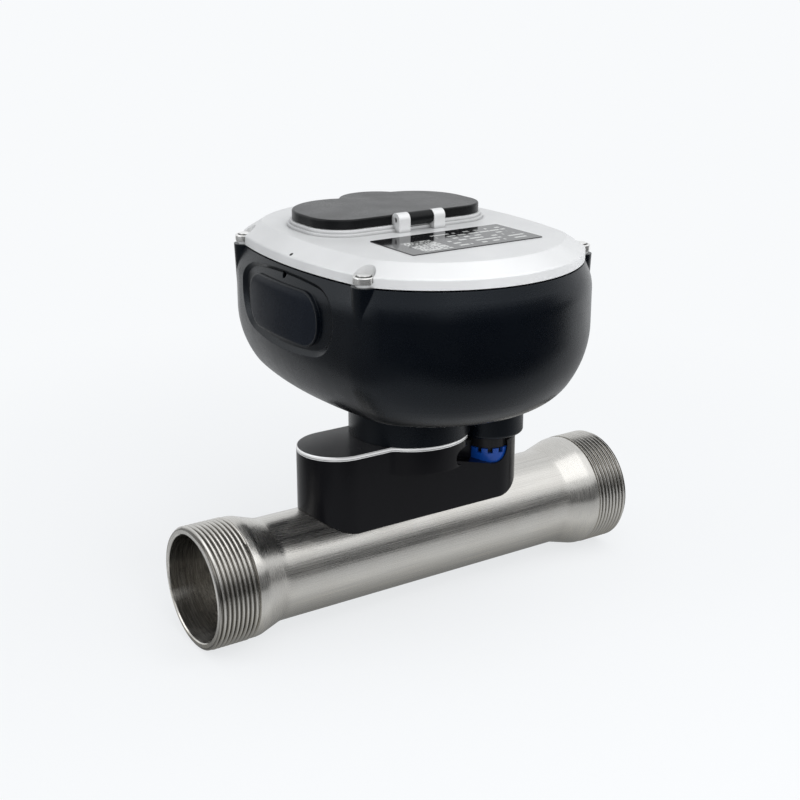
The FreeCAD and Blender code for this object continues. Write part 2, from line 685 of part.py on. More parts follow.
def build_flow_tube():
    owner = new_body("TubeBody")
    sketch = start_sketch(owner, "TubeProfile", "XZ_Plane")
    half = "tube_length / 2"
    thread, collar, tube = "thread_diameter / 2", "collar_diameter / 2", "tube_diameter / 2"
    draw_profile(sketch, [
        (f"-{half}", "mouth_diameter / 2"),
        (f"-{half}", f"{thread} - thread_end_chamfer"),
        (f"-{half} + thread_end_chamfer", thread),
        (f"-{half} + inlet_thread_length", thread),
        (f"-{half} + inlet_thread_length", collar),
        (f"-{half} + inlet_thread_length + inlet_collar_length", collar),
        (f"-{half} + inlet_thread_length + inlet_collar_length + inlet_cone_length", tube),
        (f"{half} - outlet_thread_length - outlet_collar_length - outlet_cone_length", tube),
        (f"{half} - outlet_thread_length - outlet_collar_length", collar),
        (f"{half} - outlet_thread_length", collar),
        (f"{half} - outlet_thread_length", thread),
        (f"{half} - thread_end_chamfer", thread),
        (half, f"{thread} - thread_end_chamfer"),
        (half, "mouth_diameter / 2"),
        (f"{half} - mouth_depth", "mouth_diameter / 2"),
        (f"{half} - mouth_depth - mouth_cone_length", "bore_diameter / 2"),
        (f"-{half} + mouth_depth + mouth_cone_length", "bore_diameter / 2"),
        (f"-{half} + mouth_depth", "mouth_diameter / 2"),
    ])
    turned = owner.newObject("PartDesign::Revolution", "TubeTurned")
    turned.Profile = sketch
    turned.ReferenceAxis = (sketch, ["H_Axis"])
    turned.Angle = 360
    doc.recompute()
    kinks = []
    for place in (f"-{half} + inlet_thread_length + inlet_collar_length",
                  f"-{half} + inlet_thread_length + inlet_collar_length + inlet_cone_length",
                  f"{half} - outlet_thread_length - outlet_collar_length - outlet_cone_length",
                  f"{half} - outlet_thread_length - outlet_collar_length"):
        kinks += ring_edges(turned, place)
    fillet(owner, turned, kinks, "cone_round")
    holes = []
    for side, word in ((-1, "Inlet"), (1, "Outlet")):
        place = f"{side} * {TRANSDUCER_X}"
        holes.append(cylinder(f"StemHole{word}", "stem_diameter / 2 + fit_clearance", "tube_diameter",
                              place))
        holes.append(cylinder(f"SpotFace{word}", "cap_diameter / 2 + fit_clearance", "tube_diameter", place,
                              z="seat_height"))
    finish("flow_tube", cut("Tube", owner, holes))


def build_transducers():
    """Two sensors set through the crown of the tube, flush with the bore, each on a flat ring."""
    sensors, rings = [], []
    for side, word in ((-1, "Inlet"), (1, "Outlet")):
        place = f"{side} * {TRANSDUCER_X}"
        stem = cylinder(f"Stem{word}", "stem_diameter / 2", CAP_BASE, place)
        cap = cylinder(f"Cap{word}", "cap_diameter / 2", "cap_height", place, z=CAP_BASE)
        bore = cylinder(f"BoreFace{word}", "bore_diameter / 2", "tube_length", "-tube_length / 2",
                        axis=Vector(1, 0, 0))
        sensors.append(cut(f"Sensor{word}", fuse(f"SensorBlank{word}", [stem, cap]), [bore]))
        ring = cylinder(f"RingBlank{word}", "cap_diameter / 2", "seal_thickness", place, z="seat_height")
        eye = cylinder(f"RingEye{word}", "stem_diameter / 2 + fit_clearance", "seal_thickness", place,
                       z="seat_height")
        rings.append(cut(f"Ring{word}", ring, [eye]))
    finish("transducers", group("Sensors", sensors))
    finish("transducer_seals", group("SensorRings", rings))


# Saddle block, closing plate and connector

def build_saddle_block():
    block = new_body("BlockBody")
    low = start_sketch(block, "BlockPlan")
    draw_stadium(low, "0", "0", "block_length / 2 - block_width / 2", "block_width / 2")
    low_pad = pad(block, low, "block_low_top")
    fillet(block, low_pad, level_edges(low_pad, "block_low_top"), "block_edge_round")
    high = start_sketch(block, "BlockTop", offset="lobe_bottom")
    draw_block_top(high)
    pad(block, high, "block_top - lobe_bottom")
    tube = cylinder("BlockSaddle", "tube_diameter / 2 + saddle_clearance", "tube_length",
                    "-tube_length / 2", axis=Vector(1, 0, 0))
    pocket_hole = cylinder("ConnectorPocket", "ring_diameter / 2 + pocket_clearance", "block_top",
                           CONNECTOR_X, "-connector_y", "pocket_floor")
    slot = prism("FingerSlot", draw_finger_slot, "slot_back", "lobe_diameter", "XZ_Plane")
    socket_hole = cylinder("SocketHole", "socket_diameter / 2 + fit_clearance", "socket_height",
                           CONNECTOR_X, "-connector_y", f"{SOCKET_TOP} - socket_height")
    cavity_end = "(slot_tip_x - slot_tip_radius)"
    cavity_length = f"({cavity_end} + block_length / 2 - block_wall)"
    cavity = prism("WiringSpace", lambda sketch: draw_rounded_rectangle(
        sketch, f"{cavity_end} - {cavity_length} / 2", "0", cavity_length, "block_cavity_width",
        "cavity_round"), "block_cavity_floor", "block_top")
    recesses = []
    for side, word in ((-1, "Inlet"), (1, "Outlet")):
        place = f"{side} * {TRANSDUCER_X}"
        recesses.append(cylinder(f"CapRecess{word}", "cap_diameter / 2 + saddle_clearance",
                                 f"{CAP_BASE} + cap_height + saddle_clearance", place))
    wire_hole = cylinder("WireHole", "wire_hole_diameter / 2", "block_cavity_floor",
                         f"-{TRANSDUCER_X}")
    wire_level = f"({CAP_BASE} + cap_height / 2)"
    wire_way = cylinder("WireWay", "wire_way_diameter / 2", TRANSDUCER_X, z=wire_level,
                        axis=Vector(1, 0, 0))
    wire_rise = cylinder("WireRise", "wire_hole_diameter / 2", "block_cavity_floor", z=wire_level)
    finish("saddle_block", cut("Block", block, [tube, pocket_hole, slot, socket_hole, cavity,
                                                wire_hole, wire_way, wire_rise, *recesses]))


def build_closing_plate():
    plate = new_body("PlateBody")
    sketch = start_sketch(plate, "PlatePlan", offset="block_top")
    draw_block_top(sketch)
    sheet_pad = pad(plate, sketch, "plate_thickness")
    chamfer(plate, sheet_pad, level_edges(sheet_pad, PLATE_TOP), "plate_chamfer")
    way = cylinder("PlateWireWay", "plate_hole_diameter / 2", "plate_thickness", z="block_top")
    finish("closing_plate", cut("Plate", plate, [way]))


def build_connector():
    """Plug under the boss, contact insert in the block, pins between them and the blue locking ring."""
    axis = (CONNECTOR_X, "-connector_y")
    collar = cylinder("PlugCollar", "plug_collar_diameter / 2", f"boss_bottom - {RING_TOP} - hinge_gap",
                      *axis, f"{RING_TOP} + hinge_gap")
    stem = cylinder("PlugStem", "plug_stem_diameter / 2", f"boss_bottom - {SOCKET_TOP}", *axis, SOCKET_TOP)
    insert = cylinder("SocketBlank", "socket_diameter / 2", "socket_height", *axis,
                      f"{SOCKET_TOP} - socket_height")
    pins, plug_holes, socket_holes = [], [], []
    for index, (step_x, step_y) in enumerate(((1, 0), (0, 1), (-1, 0), (0, -1))):
        place = (f"{CONNECTOR_X} + {step_x} * contact_circle / 2",
                 f"-connector_y + {step_y} * contact_circle / 2", f"{SOCKET_TOP} - contact_length / 2")
        pins.append(cylinder(f"Contact{index}", "contact_diameter / 2", "contact_length", *place))
        for word, holes in (("Plug", plug_holes), ("Socket", socket_holes)):
            holes.append(cylinder(f"{word}Hole{index}", "contact_diameter / 2 + fit_clearance",
                                  "contact_length", *place))
    finish("connector_plug", cut("Plug", fuse("PlugBlank", [collar, stem]), plug_holes))
    finish("connector_socket", cut("Socket", insert, socket_holes))
    finish("contact_pins", group("Contacts", pins))
    ring = cylinder("LockRingBlank", "ring_diameter / 2", "ring_height", *axis, RING_BASE)
    eye = cylinder("LockRingEye", RING_BORE, "ring_height", *axis, RING_BASE)
    notches = []
    for index in range(int(number("ring_teeth"))):
        notch = box(f"Notch{index}", ("ring_diameter", "notch_width", "notch_depth"), *axis,
                    f"{RING_TOP} - notch_depth")
        turn = f"{index} * 360 / ring_teeth"
        bind(notch, "Placement.Rotation.Angle", f"({turn}) * 1 deg")
        bind(notch, "Placement.Base.x", f"{CONNECTOR_X} + notch_width / 2 * sin(({turn}) * 1 deg)")
        bind(notch, "Placement.Base.y", f"-connector_y - notch_width / 2 * cos(({turn}) * 1 deg)")
        notches.append(notch)
    finish("locking_ring", cut("LockRing", ring, [eye, *notches]))


# Register housing

def bowl_form(name, inset="0", below_top="0"):
    """The bowl's outer form, or the same form drawn in by an inset and ended below the rim."""
    owner = new_body(name)
    base, top = f"(bowl_bottom + ({inset}))", f"(bowl_top - ({below_top}))"
    sketch = start_sketch(owner, f"{name}Plan", offset=base)
    draw_head_outline(sketch, inset)
    raised = pad(owner, sketch, f"{top} - {base}")
    # A slope drawn in evenly keeps its angle, so its two legs shrink at different rates
    less_width = f"(1 - ({SLOPE_LENGTH} - bowl_slope_width) / bowl_slope_height)"
    less_height = f"(1 - ({SLOPE_LENGTH} - bowl_slope_height) / bowl_slope_width)"
    slope_width = f"(bowl_slope_width - ({inset}) * {less_width})"
    slope_height = f"(bowl_slope_height - ({inset}) * {less_height})"
    sloped = chamfer(owner, raised, level_edges(raised, base), slope_width, slope_height)
    share = f"(1 - ({below_top}) / shoulder_height)"
    drawn_in = chamfer(owner, sloped, level_edges(sloped, top), f"shoulder_width * {share}",
                       f"shoulder_height * {share}")
    under = fillet(owner, drawn_in, level_edges(drawn_in, base), f"bowl_lower_round - ({inset})")
    wall = fillet(owner, under, level_edges(under, f"{base} + {slope_height}"),
                  f"bowl_upper_round - ({inset})")
    fillet(owner, wall, level_edges(wall, "bowl_top - shoulder_height"), f"shoulder_round - ({inset})")
    return owner


def seal_ring(name, room="0"):
    """The seal under the neck, or the groove it lies in."""
    outer = cylinder(f"{name}Outer", f"neck_seal_diameter / 2 + {room}", "neck_seal_height", z=PLATE_TOP)
    inner = cylinder(f"{name}Inner", f"neck_seal_diameter / 2 - neck_seal_width - {room}",
                     "neck_seal_height", z=PLATE_TOP)
    return cut(name, outer, [inner])


def badge_prism(name, width, height, corner):
    """A block that reaches through the inlet wall where the badge sits."""
    return prism(name, lambda sketch: draw_rounded_rectangle(
        sketch, "badge_offset", "badge_center_height", width, height, corner),
        "-head_half_width - housing_wall", "head_half_width", "YZ_Plane")


def badge_dish():
    """A shallow block with sloping sides that hollows the inlet wall round the badge."""
    owner = new_body("BadgeDish")
    sketch = start_sketch(owner, "BadgeDishSketch", "YZ_Plane", "-head_half_width - badge_dish_lead")
    draw_rounded_rectangle(sketch, "badge_offset", "badge_center_height + badge_dish_rise",
                           "badge_dish_width", "badge_dish_height", "badge_dish_round")
    dish = pad(owner, sketch, "badge_dish_reach")
    bind(dish, "TaperAngle", "-badge_slope * 1 deg")
    doc.recompute()
    return owner


def four_places(kind):
    """Formulas for four screws or posts about the head's middle, with a word for each."""
    for side_x, side_y, word in ((-1, -1, "FrontInlet"), (1, -1, "FrontOutlet"), (1, 1, "BackOutlet"),
                                 (-1, 1, "BackInlet")):
        yield word, f"{side_x} * {kind}_spacing_x / 2", f"{side_y} * {kind}_spacing_y / 2"


def build_housing():
    """Bowl, neck and connector boss in one moulding, hollow for the electronics."""
    neck = cylinder("Neck", "neck_diameter / 2", f"{FLOOR} - {PLATE_TOP}", z=PLATE_TOP)
    flare_ring = cylinder("NeckFlare", "neck_diameter / 2 + neck_round", "neck_round + housing_wall",
                          z="bowl_bottom - neck_round")
    flare_hollow = doc.addObject("Part::Torus", "NeckFlareHollow")
    bind(flare_hollow, "Radius1", "neck_diameter / 2 + neck_round")
    bind(flare_hollow, "Radius2", "neck_round")
    put(flare_hollow, z="bowl_bottom - neck_round")
    flare = cut("NeckFlareForm", flare_ring, [flare_hollow])
    boss_body = new_body("BossBody")
    boss_sketch = start_sketch(boss_body, "BossPlan", offset="boss_bottom")
    draw_stadium(boss_sketch, CONNECTOR_X, "0", "boss_spacing / 2", "boss_width / 2", upright=True)
    boss_pad = pad(boss_body, boss_sketch, "bowl_bottom + bowl_slope_height - boss_bottom")
    fillet(boss_body, boss_pad, level_edges(boss_pad, "boss_bottom"), "boss_edge_round")
    cavity = bowl_form("BowlCavity", "housing_wall", "rim_depth")
    mouth = prism("BowlMouth", lambda sketch: draw_head_outline(sketch, "shoulder_width + rim_land"),
                  "bowl_top - shoulder_height", "shoulder_height")
    blank = fuse("BowlBlank", [bowl_form("Bowl"), neck, flare, boss_body])
    shell = cut("BowlShell", blank, [cavity, mouth])
    lugs, holes = [], []
    for word, place_x, place_y in four_places("screw"):
        lugs.append(cone(f"Lug{word}", "lug_foot_diameter / 2", "lug_diameter / 2", "lug_height",
                         place_x, place_y, f"{COVER_BASE} - lug_height"))
        holes.append(cylinder(f"LugHole{word}", "screw_diameter / 2 + fit_clearance", "screw_length",
                              place_x, place_y, f"{EAR_TOP} - screw_length"))
    posts = []
    for word, place_x, place_y in four_places("post"):
        posts.append(cylinder(f"Post{word}", "post_diameter / 2", f"board_height - {FLOOR}", place_x,
                              place_y, FLOOR))
        holes.append(cylinder(f"PostHole{word}", "board_screw_diameter / 2 + fit_clearance",
                              "board_screw_length", place_x, place_y, f"{BOARD_TOP} - board_screw_length"))
    moulding = fuse("HousingBlank", [shell, *lugs, *posts])
    gasket_room = prism("GasketRoom", lambda sketch: draw_head_outline(
        sketch, "shoulder_width + gasket_inset - head_room"), "bowl_top", "cover_height")
    island = badge_prism("BadgeIsland", "badge_island_width", "badge_island_height", "badge_island_round")
    hollow = cut("BadgeHollow", badge_dish(), [bowl_form("BadgeSkin", "badge_depth"), island])
    opening = badge_prism("BadgeOpening", "badge_width + 2 * fit_clearance",
                          "badge_height + 2 * fit_clearance", "badge_round + fit_clearance")
    seat = cut("BadgeSeat", opening, [bowl_form("BadgeSeatSkin", "badge_thickness")])
    way = cylinder("NeckWireWay", "neck_bore / 2", f"{FLOOR} - {PLATE_TOP}", z=PLATE_TOP)
    plug_way = cylinder("PlugWireWay", "plug_wire_diameter / 2",
                        "bowl_bottom + bowl_slope_height - boss_bottom",
                        CONNECTOR_X, "-connector_y", "boss_bottom")
    seal_groove = seal_ring("NeckSealGroove", "fit_clearance")
    seal_hole = cylinder("SealHole", "seal_hole_diameter / 2", "shoulder_width + seal_hole_depth",
                         "-head_half_width", "seal_hole_offset",
                         "badge_center_height + seal_hole_rise", Vector(1, 0, 0))
    finish("housing", cut("Housing", moulding, [hollow, seat, way, plug_way, seal_groove, seal_hole,
                                                gasket_room, *holes]))
    finish("neck_seal", seal_ring("NeckSeal"))
    layer = cut("BadgeLayer", bowl_form("BadgeFront", "fit_clearance"),
                [bowl_form("BadgeBack", "badge_thickness - fit_clearance")])
    plan = badge_prism("BadgePlan", "badge_width", "badge_height", "badge_round")
    finish("badge_plate", common("Badge", layer, plan))


# Cover, gasket and screws

def build_cover():
    """Cast cover with ears, stepped plinth and two hinge knuckles, open under the lid's window."""
    outer = new_body("CoverOuter")
    sketch = start_sketch(outer, "CoverPlan", offset=COVER_BASE)
    draw_head_outline(sketch, "shoulder_width")
    raised = pad(outer, sketch, "cover_height")
    band = chamfer(outer, raised, level_edges(raised, PLATEAU), "bevel_width",
                   "cover_height - skirt_height")
    rim = fillet(outer, band, level_edges(band, SKIRT_TOP), "skirt_round")
    fillet(outer, rim, level_edges(rim, PLATEAU), "plateau_round")
    hollow = prism("CoverHollow", lambda shape: draw_head_outline(shape, "shoulder_width + rim_land"),
                   COVER_BASE, "cover_height - cover_wall")
    step_low = prism("PlinthLow", lambda shape: draw_lid_outline(shape, "step_low_grow"), PLATEAU,
                     "step_low_height")
    step_high = prism("PlinthHigh", lambda shape: draw_lid_outline(shape, "step_high_grow"),
                      f"{PLATEAU} + step_low_height", "step_high_height")
    ears, rooms = [], []
    for word, place_x, place_y in four_places("screw"):
        ears.append(cylinder(f"Ear{word}", "ear_diameter / 2", "ear_thickness", place_x, place_y,
                             COVER_BASE))
        rooms.append(cylinder(f"HeadRoom{word}", "screw_head_diameter / 2 + head_room", "cover_height",
                              place_x, place_y, EAR_TOP))
        rooms.append(cylinder(f"EarHole{word}", "screw_diameter / 2 + fit_clearance", "ear_thickness",
                              place_x, place_y, COVER_BASE))
    knuckles = []
    reach = "(barrel_length / 2 + hinge_gap)"
    for word, start in (("Inlet", f"hinge_x - {reach} - knuckle_width"), ("Outlet", f"hinge_x + {reach}")):
        knuckles.append(box(f"KnucklePost{word}", ("knuckle_width", "knuckle_depth", "hinge_rise"), start,
                            "-hinge_y - knuckle_depth / 2", PLATEAU))
        knuckles.append(cylinder(f"KnuckleCrown{word}", "knuckle_depth / 2", "knuckle_width", start,
                                 "-hinge_y", HINGE_Z, Vector(1, 0, 0)))
    pin_hole = cylinder("PinHole", "pin_diameter / 2 + fit_clearance", f"2 * ({reach} + knuckle_width)",
                        f"hinge_x - {reach} - knuckle_width", "-hinge_y", HINGE_Z, Vector(1, 0, 0))
    barrel_room = cylinder("BarrelRoom", "barrel_diameter / 2 + hinge_gap", f"2 * {reach}",
                           f"hinge_x - {reach}", "-hinge_y", HINGE_Z, Vector(1, 0, 0))
    glass_seat = prism("GlassSeat", lambda shape: draw_rounded_rectangle(
        shape, "lid_x", "window_y", "window_width + 2 * fit_clearance", "window_depth + 2 * fit_clearance",
        "window_round"), GLASS_SEAT, "cover_height")
    opening = prism("WindowOpening", lambda shape: draw_rounded_rectangle(
        shape, "lid_x", "window_y", "window_width - 2 * ledge_width", "window_depth - 2 * ledge_width",
        "window_round"), COVER_BASE, f"{LID_BASE} - {COVER_BASE}")
    bevel_hole = cylinder("BevelHole", "bevel_hole_diameter / 2", "cover_height",
                          "-head_half_width + shoulder_width + bevel_hole_inset", "-bevel_hole_offset",
                          COVER_BASE)
    shell = cut("CoverShell", outer, [hollow])
    casting = fuse("CoverBlank", [shell, step_low, step_high, *ears, *knuckles])
    finish("cover", cut("Cover", casting, [*rooms, pin_hole, barrel_room, glass_seat, opening, bevel_hole]))


def build_gasket():
    outer = prism("GasketOuter", lambda sketch: draw_head_outline(sketch, "shoulder_width + gasket_inset"),
                  "bowl_top", "gasket_thickness")
    inner = prism("GasketInner", lambda sketch: draw_head_outline(
        sketch, "shoulder_width + gasket_inset + gasket_width"), "bowl_top", "gasket_thickness")
    finish("cover_gasket", cut("Gasket", outer, [inner]))


def build_screws():
    screws = []
    for word, place_x, place_y in four_places("screw"):
        head = cylinder(f"Head{word}", "screw_head_diameter / 2", "screw_head_height - screw_head_bevel",
                        place_x, place_y, EAR_TOP)
        bevel = cone(f"HeadBevel{word}", "screw_head_diameter / 2",
                     "screw_head_diameter / 2 - screw_head_bevel", "screw_head_bevel", place_x, place_y,
                     f"{EAR_TOP} + screw_head_height - screw_head_bevel")
        shank = cylinder(f"Shank{word}", "screw_diameter / 2", "screw_length", place_x, place_y,
                         f"{EAR_TOP} - screw_length")
        screws.append(fuse(f"Screw{word}", [head, bevel, shank]))
    finish("cover_screws", group("CoverScrews", screws))


# Lid and hinge

def build_lid():
    """Three-lobed flap with a barrel between the knuckles."""
    owner = new_body("LidBody")
    plan = start_sketch(owner, "LidPlan", offset=LID_BASE)
    draw_lid_outline(plan)
    plate = pad(owner, plan, "lid_thickness")
    rounded = fillet(owner, plate, level_edges(plate, f"{LID_BASE} + lid_thickness"), "lid_edge_round")
    hollow = start_sketch(owner, "LidHollow", offset=LID_BASE)
    draw_lid_outline(hollow, "-lid_rim")
    pocket(owner, hollow, "lid_hollow", reverse=True)
    assert owner.Shape.Volume < rounded.Shape.Volume
    reach = "(barrel_length / 2)"
    barrel = cylinder("LidBarrel", "barrel_diameter / 2", "barrel_length", f"hinge_x - {reach}", "-hinge_y",
                      HINGE_Z, Vector(1, 0, 0))
    web = box("LidWeb", ("barrel_length", "hinge_y", "barrel_diameter / 2"), f"hinge_x - {reach}",
              "-hinge_y",
              LID_BASE)
    notches = []
    room = "(barrel_length / 2 + hinge_gap + knuckle_width)"
    for word, start in (("Inlet", f"hinge_x - {room} - hinge_gap"), ("Outlet", f"hinge_x + {reach}")):
        notches.append(box(f"LidNotch{word}", ("knuckle_width + 2 * hinge_gap",
                                               "knuckle_depth + 2 * hinge_gap",
                                               "2 * lid_thickness + barrel_diameter"),
                           start, "-hinge_y - knuckle_depth / 2 - hinge_gap",
                           f"{LID_BASE} - lid_thickness"))
    pin_eye = cylinder("LidPinEye", "pin_diameter / 2 + running_clearance", "barrel_length",
                       f"hinge_x - {reach}", "-hinge_y", HINGE_Z, Vector(1, 0, 0))
    finish("lid", cut("Lid", fuse("LidBlank", [owner, barrel, web]), [*notches, pin_eye]))
    half = "(barrel_length / 2 + hinge_gap + knuckle_width - pin_recess)"
    finish("hinge_pin", cylinder("HingePin", "pin_diameter / 2", f"2 * {half}", f"hinge_x - {half}",
                                 "-hinge_y", HINGE_Z, Vector(1, 0, 0)))


# Window, rating plate, display and electronics

def build_window():
    glass = prism("Glass", lambda sketch: draw_rounded_rectangle(
        sketch, "lid_x", "window_y", "window_width", "window_depth", "window_round"),
        f"{GLASS_SEAT} + window_seal_thickness", "glass_thickness")
    finish("window_glass", glass)
    frame = prism("WindowSeal", lambda sketch: draw_rounded_rectangle(
        sketch, "lid_x", "window_y", "window_width", "window_depth", "window_round"), GLASS_SEAT,
        "window_seal_thickness")
    inner = prism("WindowSealInner", lambda sketch: draw_rounded_rectangle(
        sketch, "lid_x", "window_y", "window_width - 2 * ledge_width", "window_depth - 2 * ledge_width",
        "window_round"), GLASS_SEAT, "window_seal_thickness")
    finish("window_seal", cut("WindowSealRing", frame, [inner]))


def build_rating_plate():
    plate = prism("RatingPlate", lambda sketch: draw_rounded_rectangle(
        sketch, "label_x", "-label_y", "label_width", "label_depth", "label_round"), PLATEAU,
        "label_thickness")
    finish("rating_plate", plate)


def build_electronics():
    """Circuit board on four posts, with its screws and the display module under the window."""
    board = prism("BoardBody", lambda sketch: draw_rounded_rectangle(
        sketch, "0", "0", "board_width", "board_depth", "board_round"), "board_height", "board_thickness")
    holes, screws = [], []
    for word, place_x, place_y in four_places("post"):
        holes.append(cylinder(f"BoardHole{word}", "board_screw_diameter / 2 + fit_clearance",
                              "board_thickness", place_x, place_y, "board_height"))
        head = cylinder(f"BoardHead{word}", "board_screw_head / 2", "board_screw_head_height", place_x,
                        place_y, BOARD_TOP)
        shank = cylinder(f"BoardShank{word}", "board_screw_diameter / 2", "board_screw_length", place_x,
                         place_y, f"{BOARD_TOP} - board_screw_length")
        screws.append(fuse(f"BoardScrew{word}", [head, shank]))
    finish("circuit_board", cut("Board", board, holes))
    finish("board_screws", group("BoardScrews", screws))
    case = prism("DisplayCase", lambda sketch: draw_rounded_rectangle(
        sketch, "lid_x", "window_y", "display_width", "display_depth", "window_round"), BOARD_TOP,
        "display_height")
    face = prism("DisplayFace", lambda sketch: draw_rounded_rectangle(
        sketch, "lid_x", "window_y", "display_width - 2 * display_frame",
        "display_depth - 2 * display_frame",
        "display_frame"), f"{BOARD_TOP} + display_height - display_recess", "display_height")
    finish("display_module", cut("Display", case, [face]))


def build_batteries():
    """Two lithium cells lying side by side in a tray on the floor of the housing."""
    cells, beds = [], []
    height = f"({FLOOR} + tray_floor + cell_diameter / 2)"
    for side, word in ((-1, "Front"), (1, "Back")):
        place = f"{side} * cell_spacing / 2"
        can = cylinder(f"Cell{word}", "cell_diameter / 2", "cell_length", "-cell_length / 2", place, height,
                       Vector(1, 0, 0))
        terminal = cylinder(f"Terminal{word}", "cell_cap_diameter / 2", "cell_cap_height",
                            "cell_length / 2", place, height, Vector(1, 0, 0))
        cells.append(fuse(f"CellWhole{word}", [can, terminal]))
        beds.append(cylinder(f"Bed{word}", "cell_diameter / 2 + fit_clearance",
                             "cell_length + 2 * cell_cap_height + cell_clearance",
                             "-cell_length / 2 - cell_clearance", place, height, Vector(1, 0, 0)))
    finish("battery_cells", group("Cells", cells))
    length = "(cell_length + 2 * cell_cap_height + 2 * cell_clearance + 2 * tray_wall)"
    width = "(cell_spacing + cell_diameter + 2 * tray_wall)"
    tray = prism("Tray", lambda sketch: draw_rounded_rectangle(
        sketch, "0", "0", length, width, "tray_wall"), FLOOR, "tray_height")
    finish("battery_tray", cut("BatteryTray", tray, beds))


build_flow_tube()
build_transducers()
build_saddle_block()
build_closing_plate()
build_connector()
build_housing()
build_cover()
build_gasket()
build_screws()
build_lid()
build_window()
build_rating_plate()
build_electronics()
build_batteries()
doc.recompute()

# Nothing is written unless every object is sound
faults = [item.Label for item in doc.Objects if {"Invalid", "Error"} & set(item.State)]
for label, thing in NODES.items():
    if thing.Shape.isNull() or not thing.Shape.isValid() or not thing.Shape.Solids:
        faults.append(label)
if faults:
    raise RuntimeError(f"failed: {', '.join(faults)}")

os.makedirs("parts", exist_ok=True)
for label, thing in NODES.items():
    thing.Shape.exportStep(f"parts/{label}.step")
    print(f"{label}: {len(thing.Shape.Solids)} solid, {thing.Shape.Volume / 1000:.2f} cm3")
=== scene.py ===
"""Looks of an inline ultrasonic flow meter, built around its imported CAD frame."""
import logging
import math
from collections.abc import Callable, Sequence
from dataclasses import dataclass, field
from enum import Enum

import bmesh
import bpy
from mathutils import Matrix, Vector


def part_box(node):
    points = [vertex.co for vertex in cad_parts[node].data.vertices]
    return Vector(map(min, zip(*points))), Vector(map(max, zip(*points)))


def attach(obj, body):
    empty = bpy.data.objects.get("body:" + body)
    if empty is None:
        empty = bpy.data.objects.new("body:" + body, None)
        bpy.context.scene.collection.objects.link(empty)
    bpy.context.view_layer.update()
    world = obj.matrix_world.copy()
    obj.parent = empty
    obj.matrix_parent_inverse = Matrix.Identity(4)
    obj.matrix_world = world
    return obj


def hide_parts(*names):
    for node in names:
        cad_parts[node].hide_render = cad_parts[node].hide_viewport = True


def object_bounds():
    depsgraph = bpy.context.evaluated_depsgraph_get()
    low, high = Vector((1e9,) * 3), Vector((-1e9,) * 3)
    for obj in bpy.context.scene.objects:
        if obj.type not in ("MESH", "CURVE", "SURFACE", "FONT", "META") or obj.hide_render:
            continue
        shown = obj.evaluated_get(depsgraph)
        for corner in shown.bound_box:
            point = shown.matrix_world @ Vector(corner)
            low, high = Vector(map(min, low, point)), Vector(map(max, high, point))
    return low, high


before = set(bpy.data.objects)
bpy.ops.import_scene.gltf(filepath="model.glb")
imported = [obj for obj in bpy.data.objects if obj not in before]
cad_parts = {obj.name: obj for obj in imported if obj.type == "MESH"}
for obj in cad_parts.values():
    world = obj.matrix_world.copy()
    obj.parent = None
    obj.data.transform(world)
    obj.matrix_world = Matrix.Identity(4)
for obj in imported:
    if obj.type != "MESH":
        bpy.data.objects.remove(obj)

CAD_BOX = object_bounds()
MM = 0.001
LOG = logging.getLogger("flow_meter")

Socket = bpy.types.NodeSocket
Colour = tuple[float, float, float]
Point = tuple[float, float, float]
Size = tuple[float, float]
# Start and end of the range read, then of the range given.
Ramp = tuple[float, float, float, float]
# A turned profile's corner: its place along the axis, its radius and its rounding.
Corner = tuple[float, float, float]


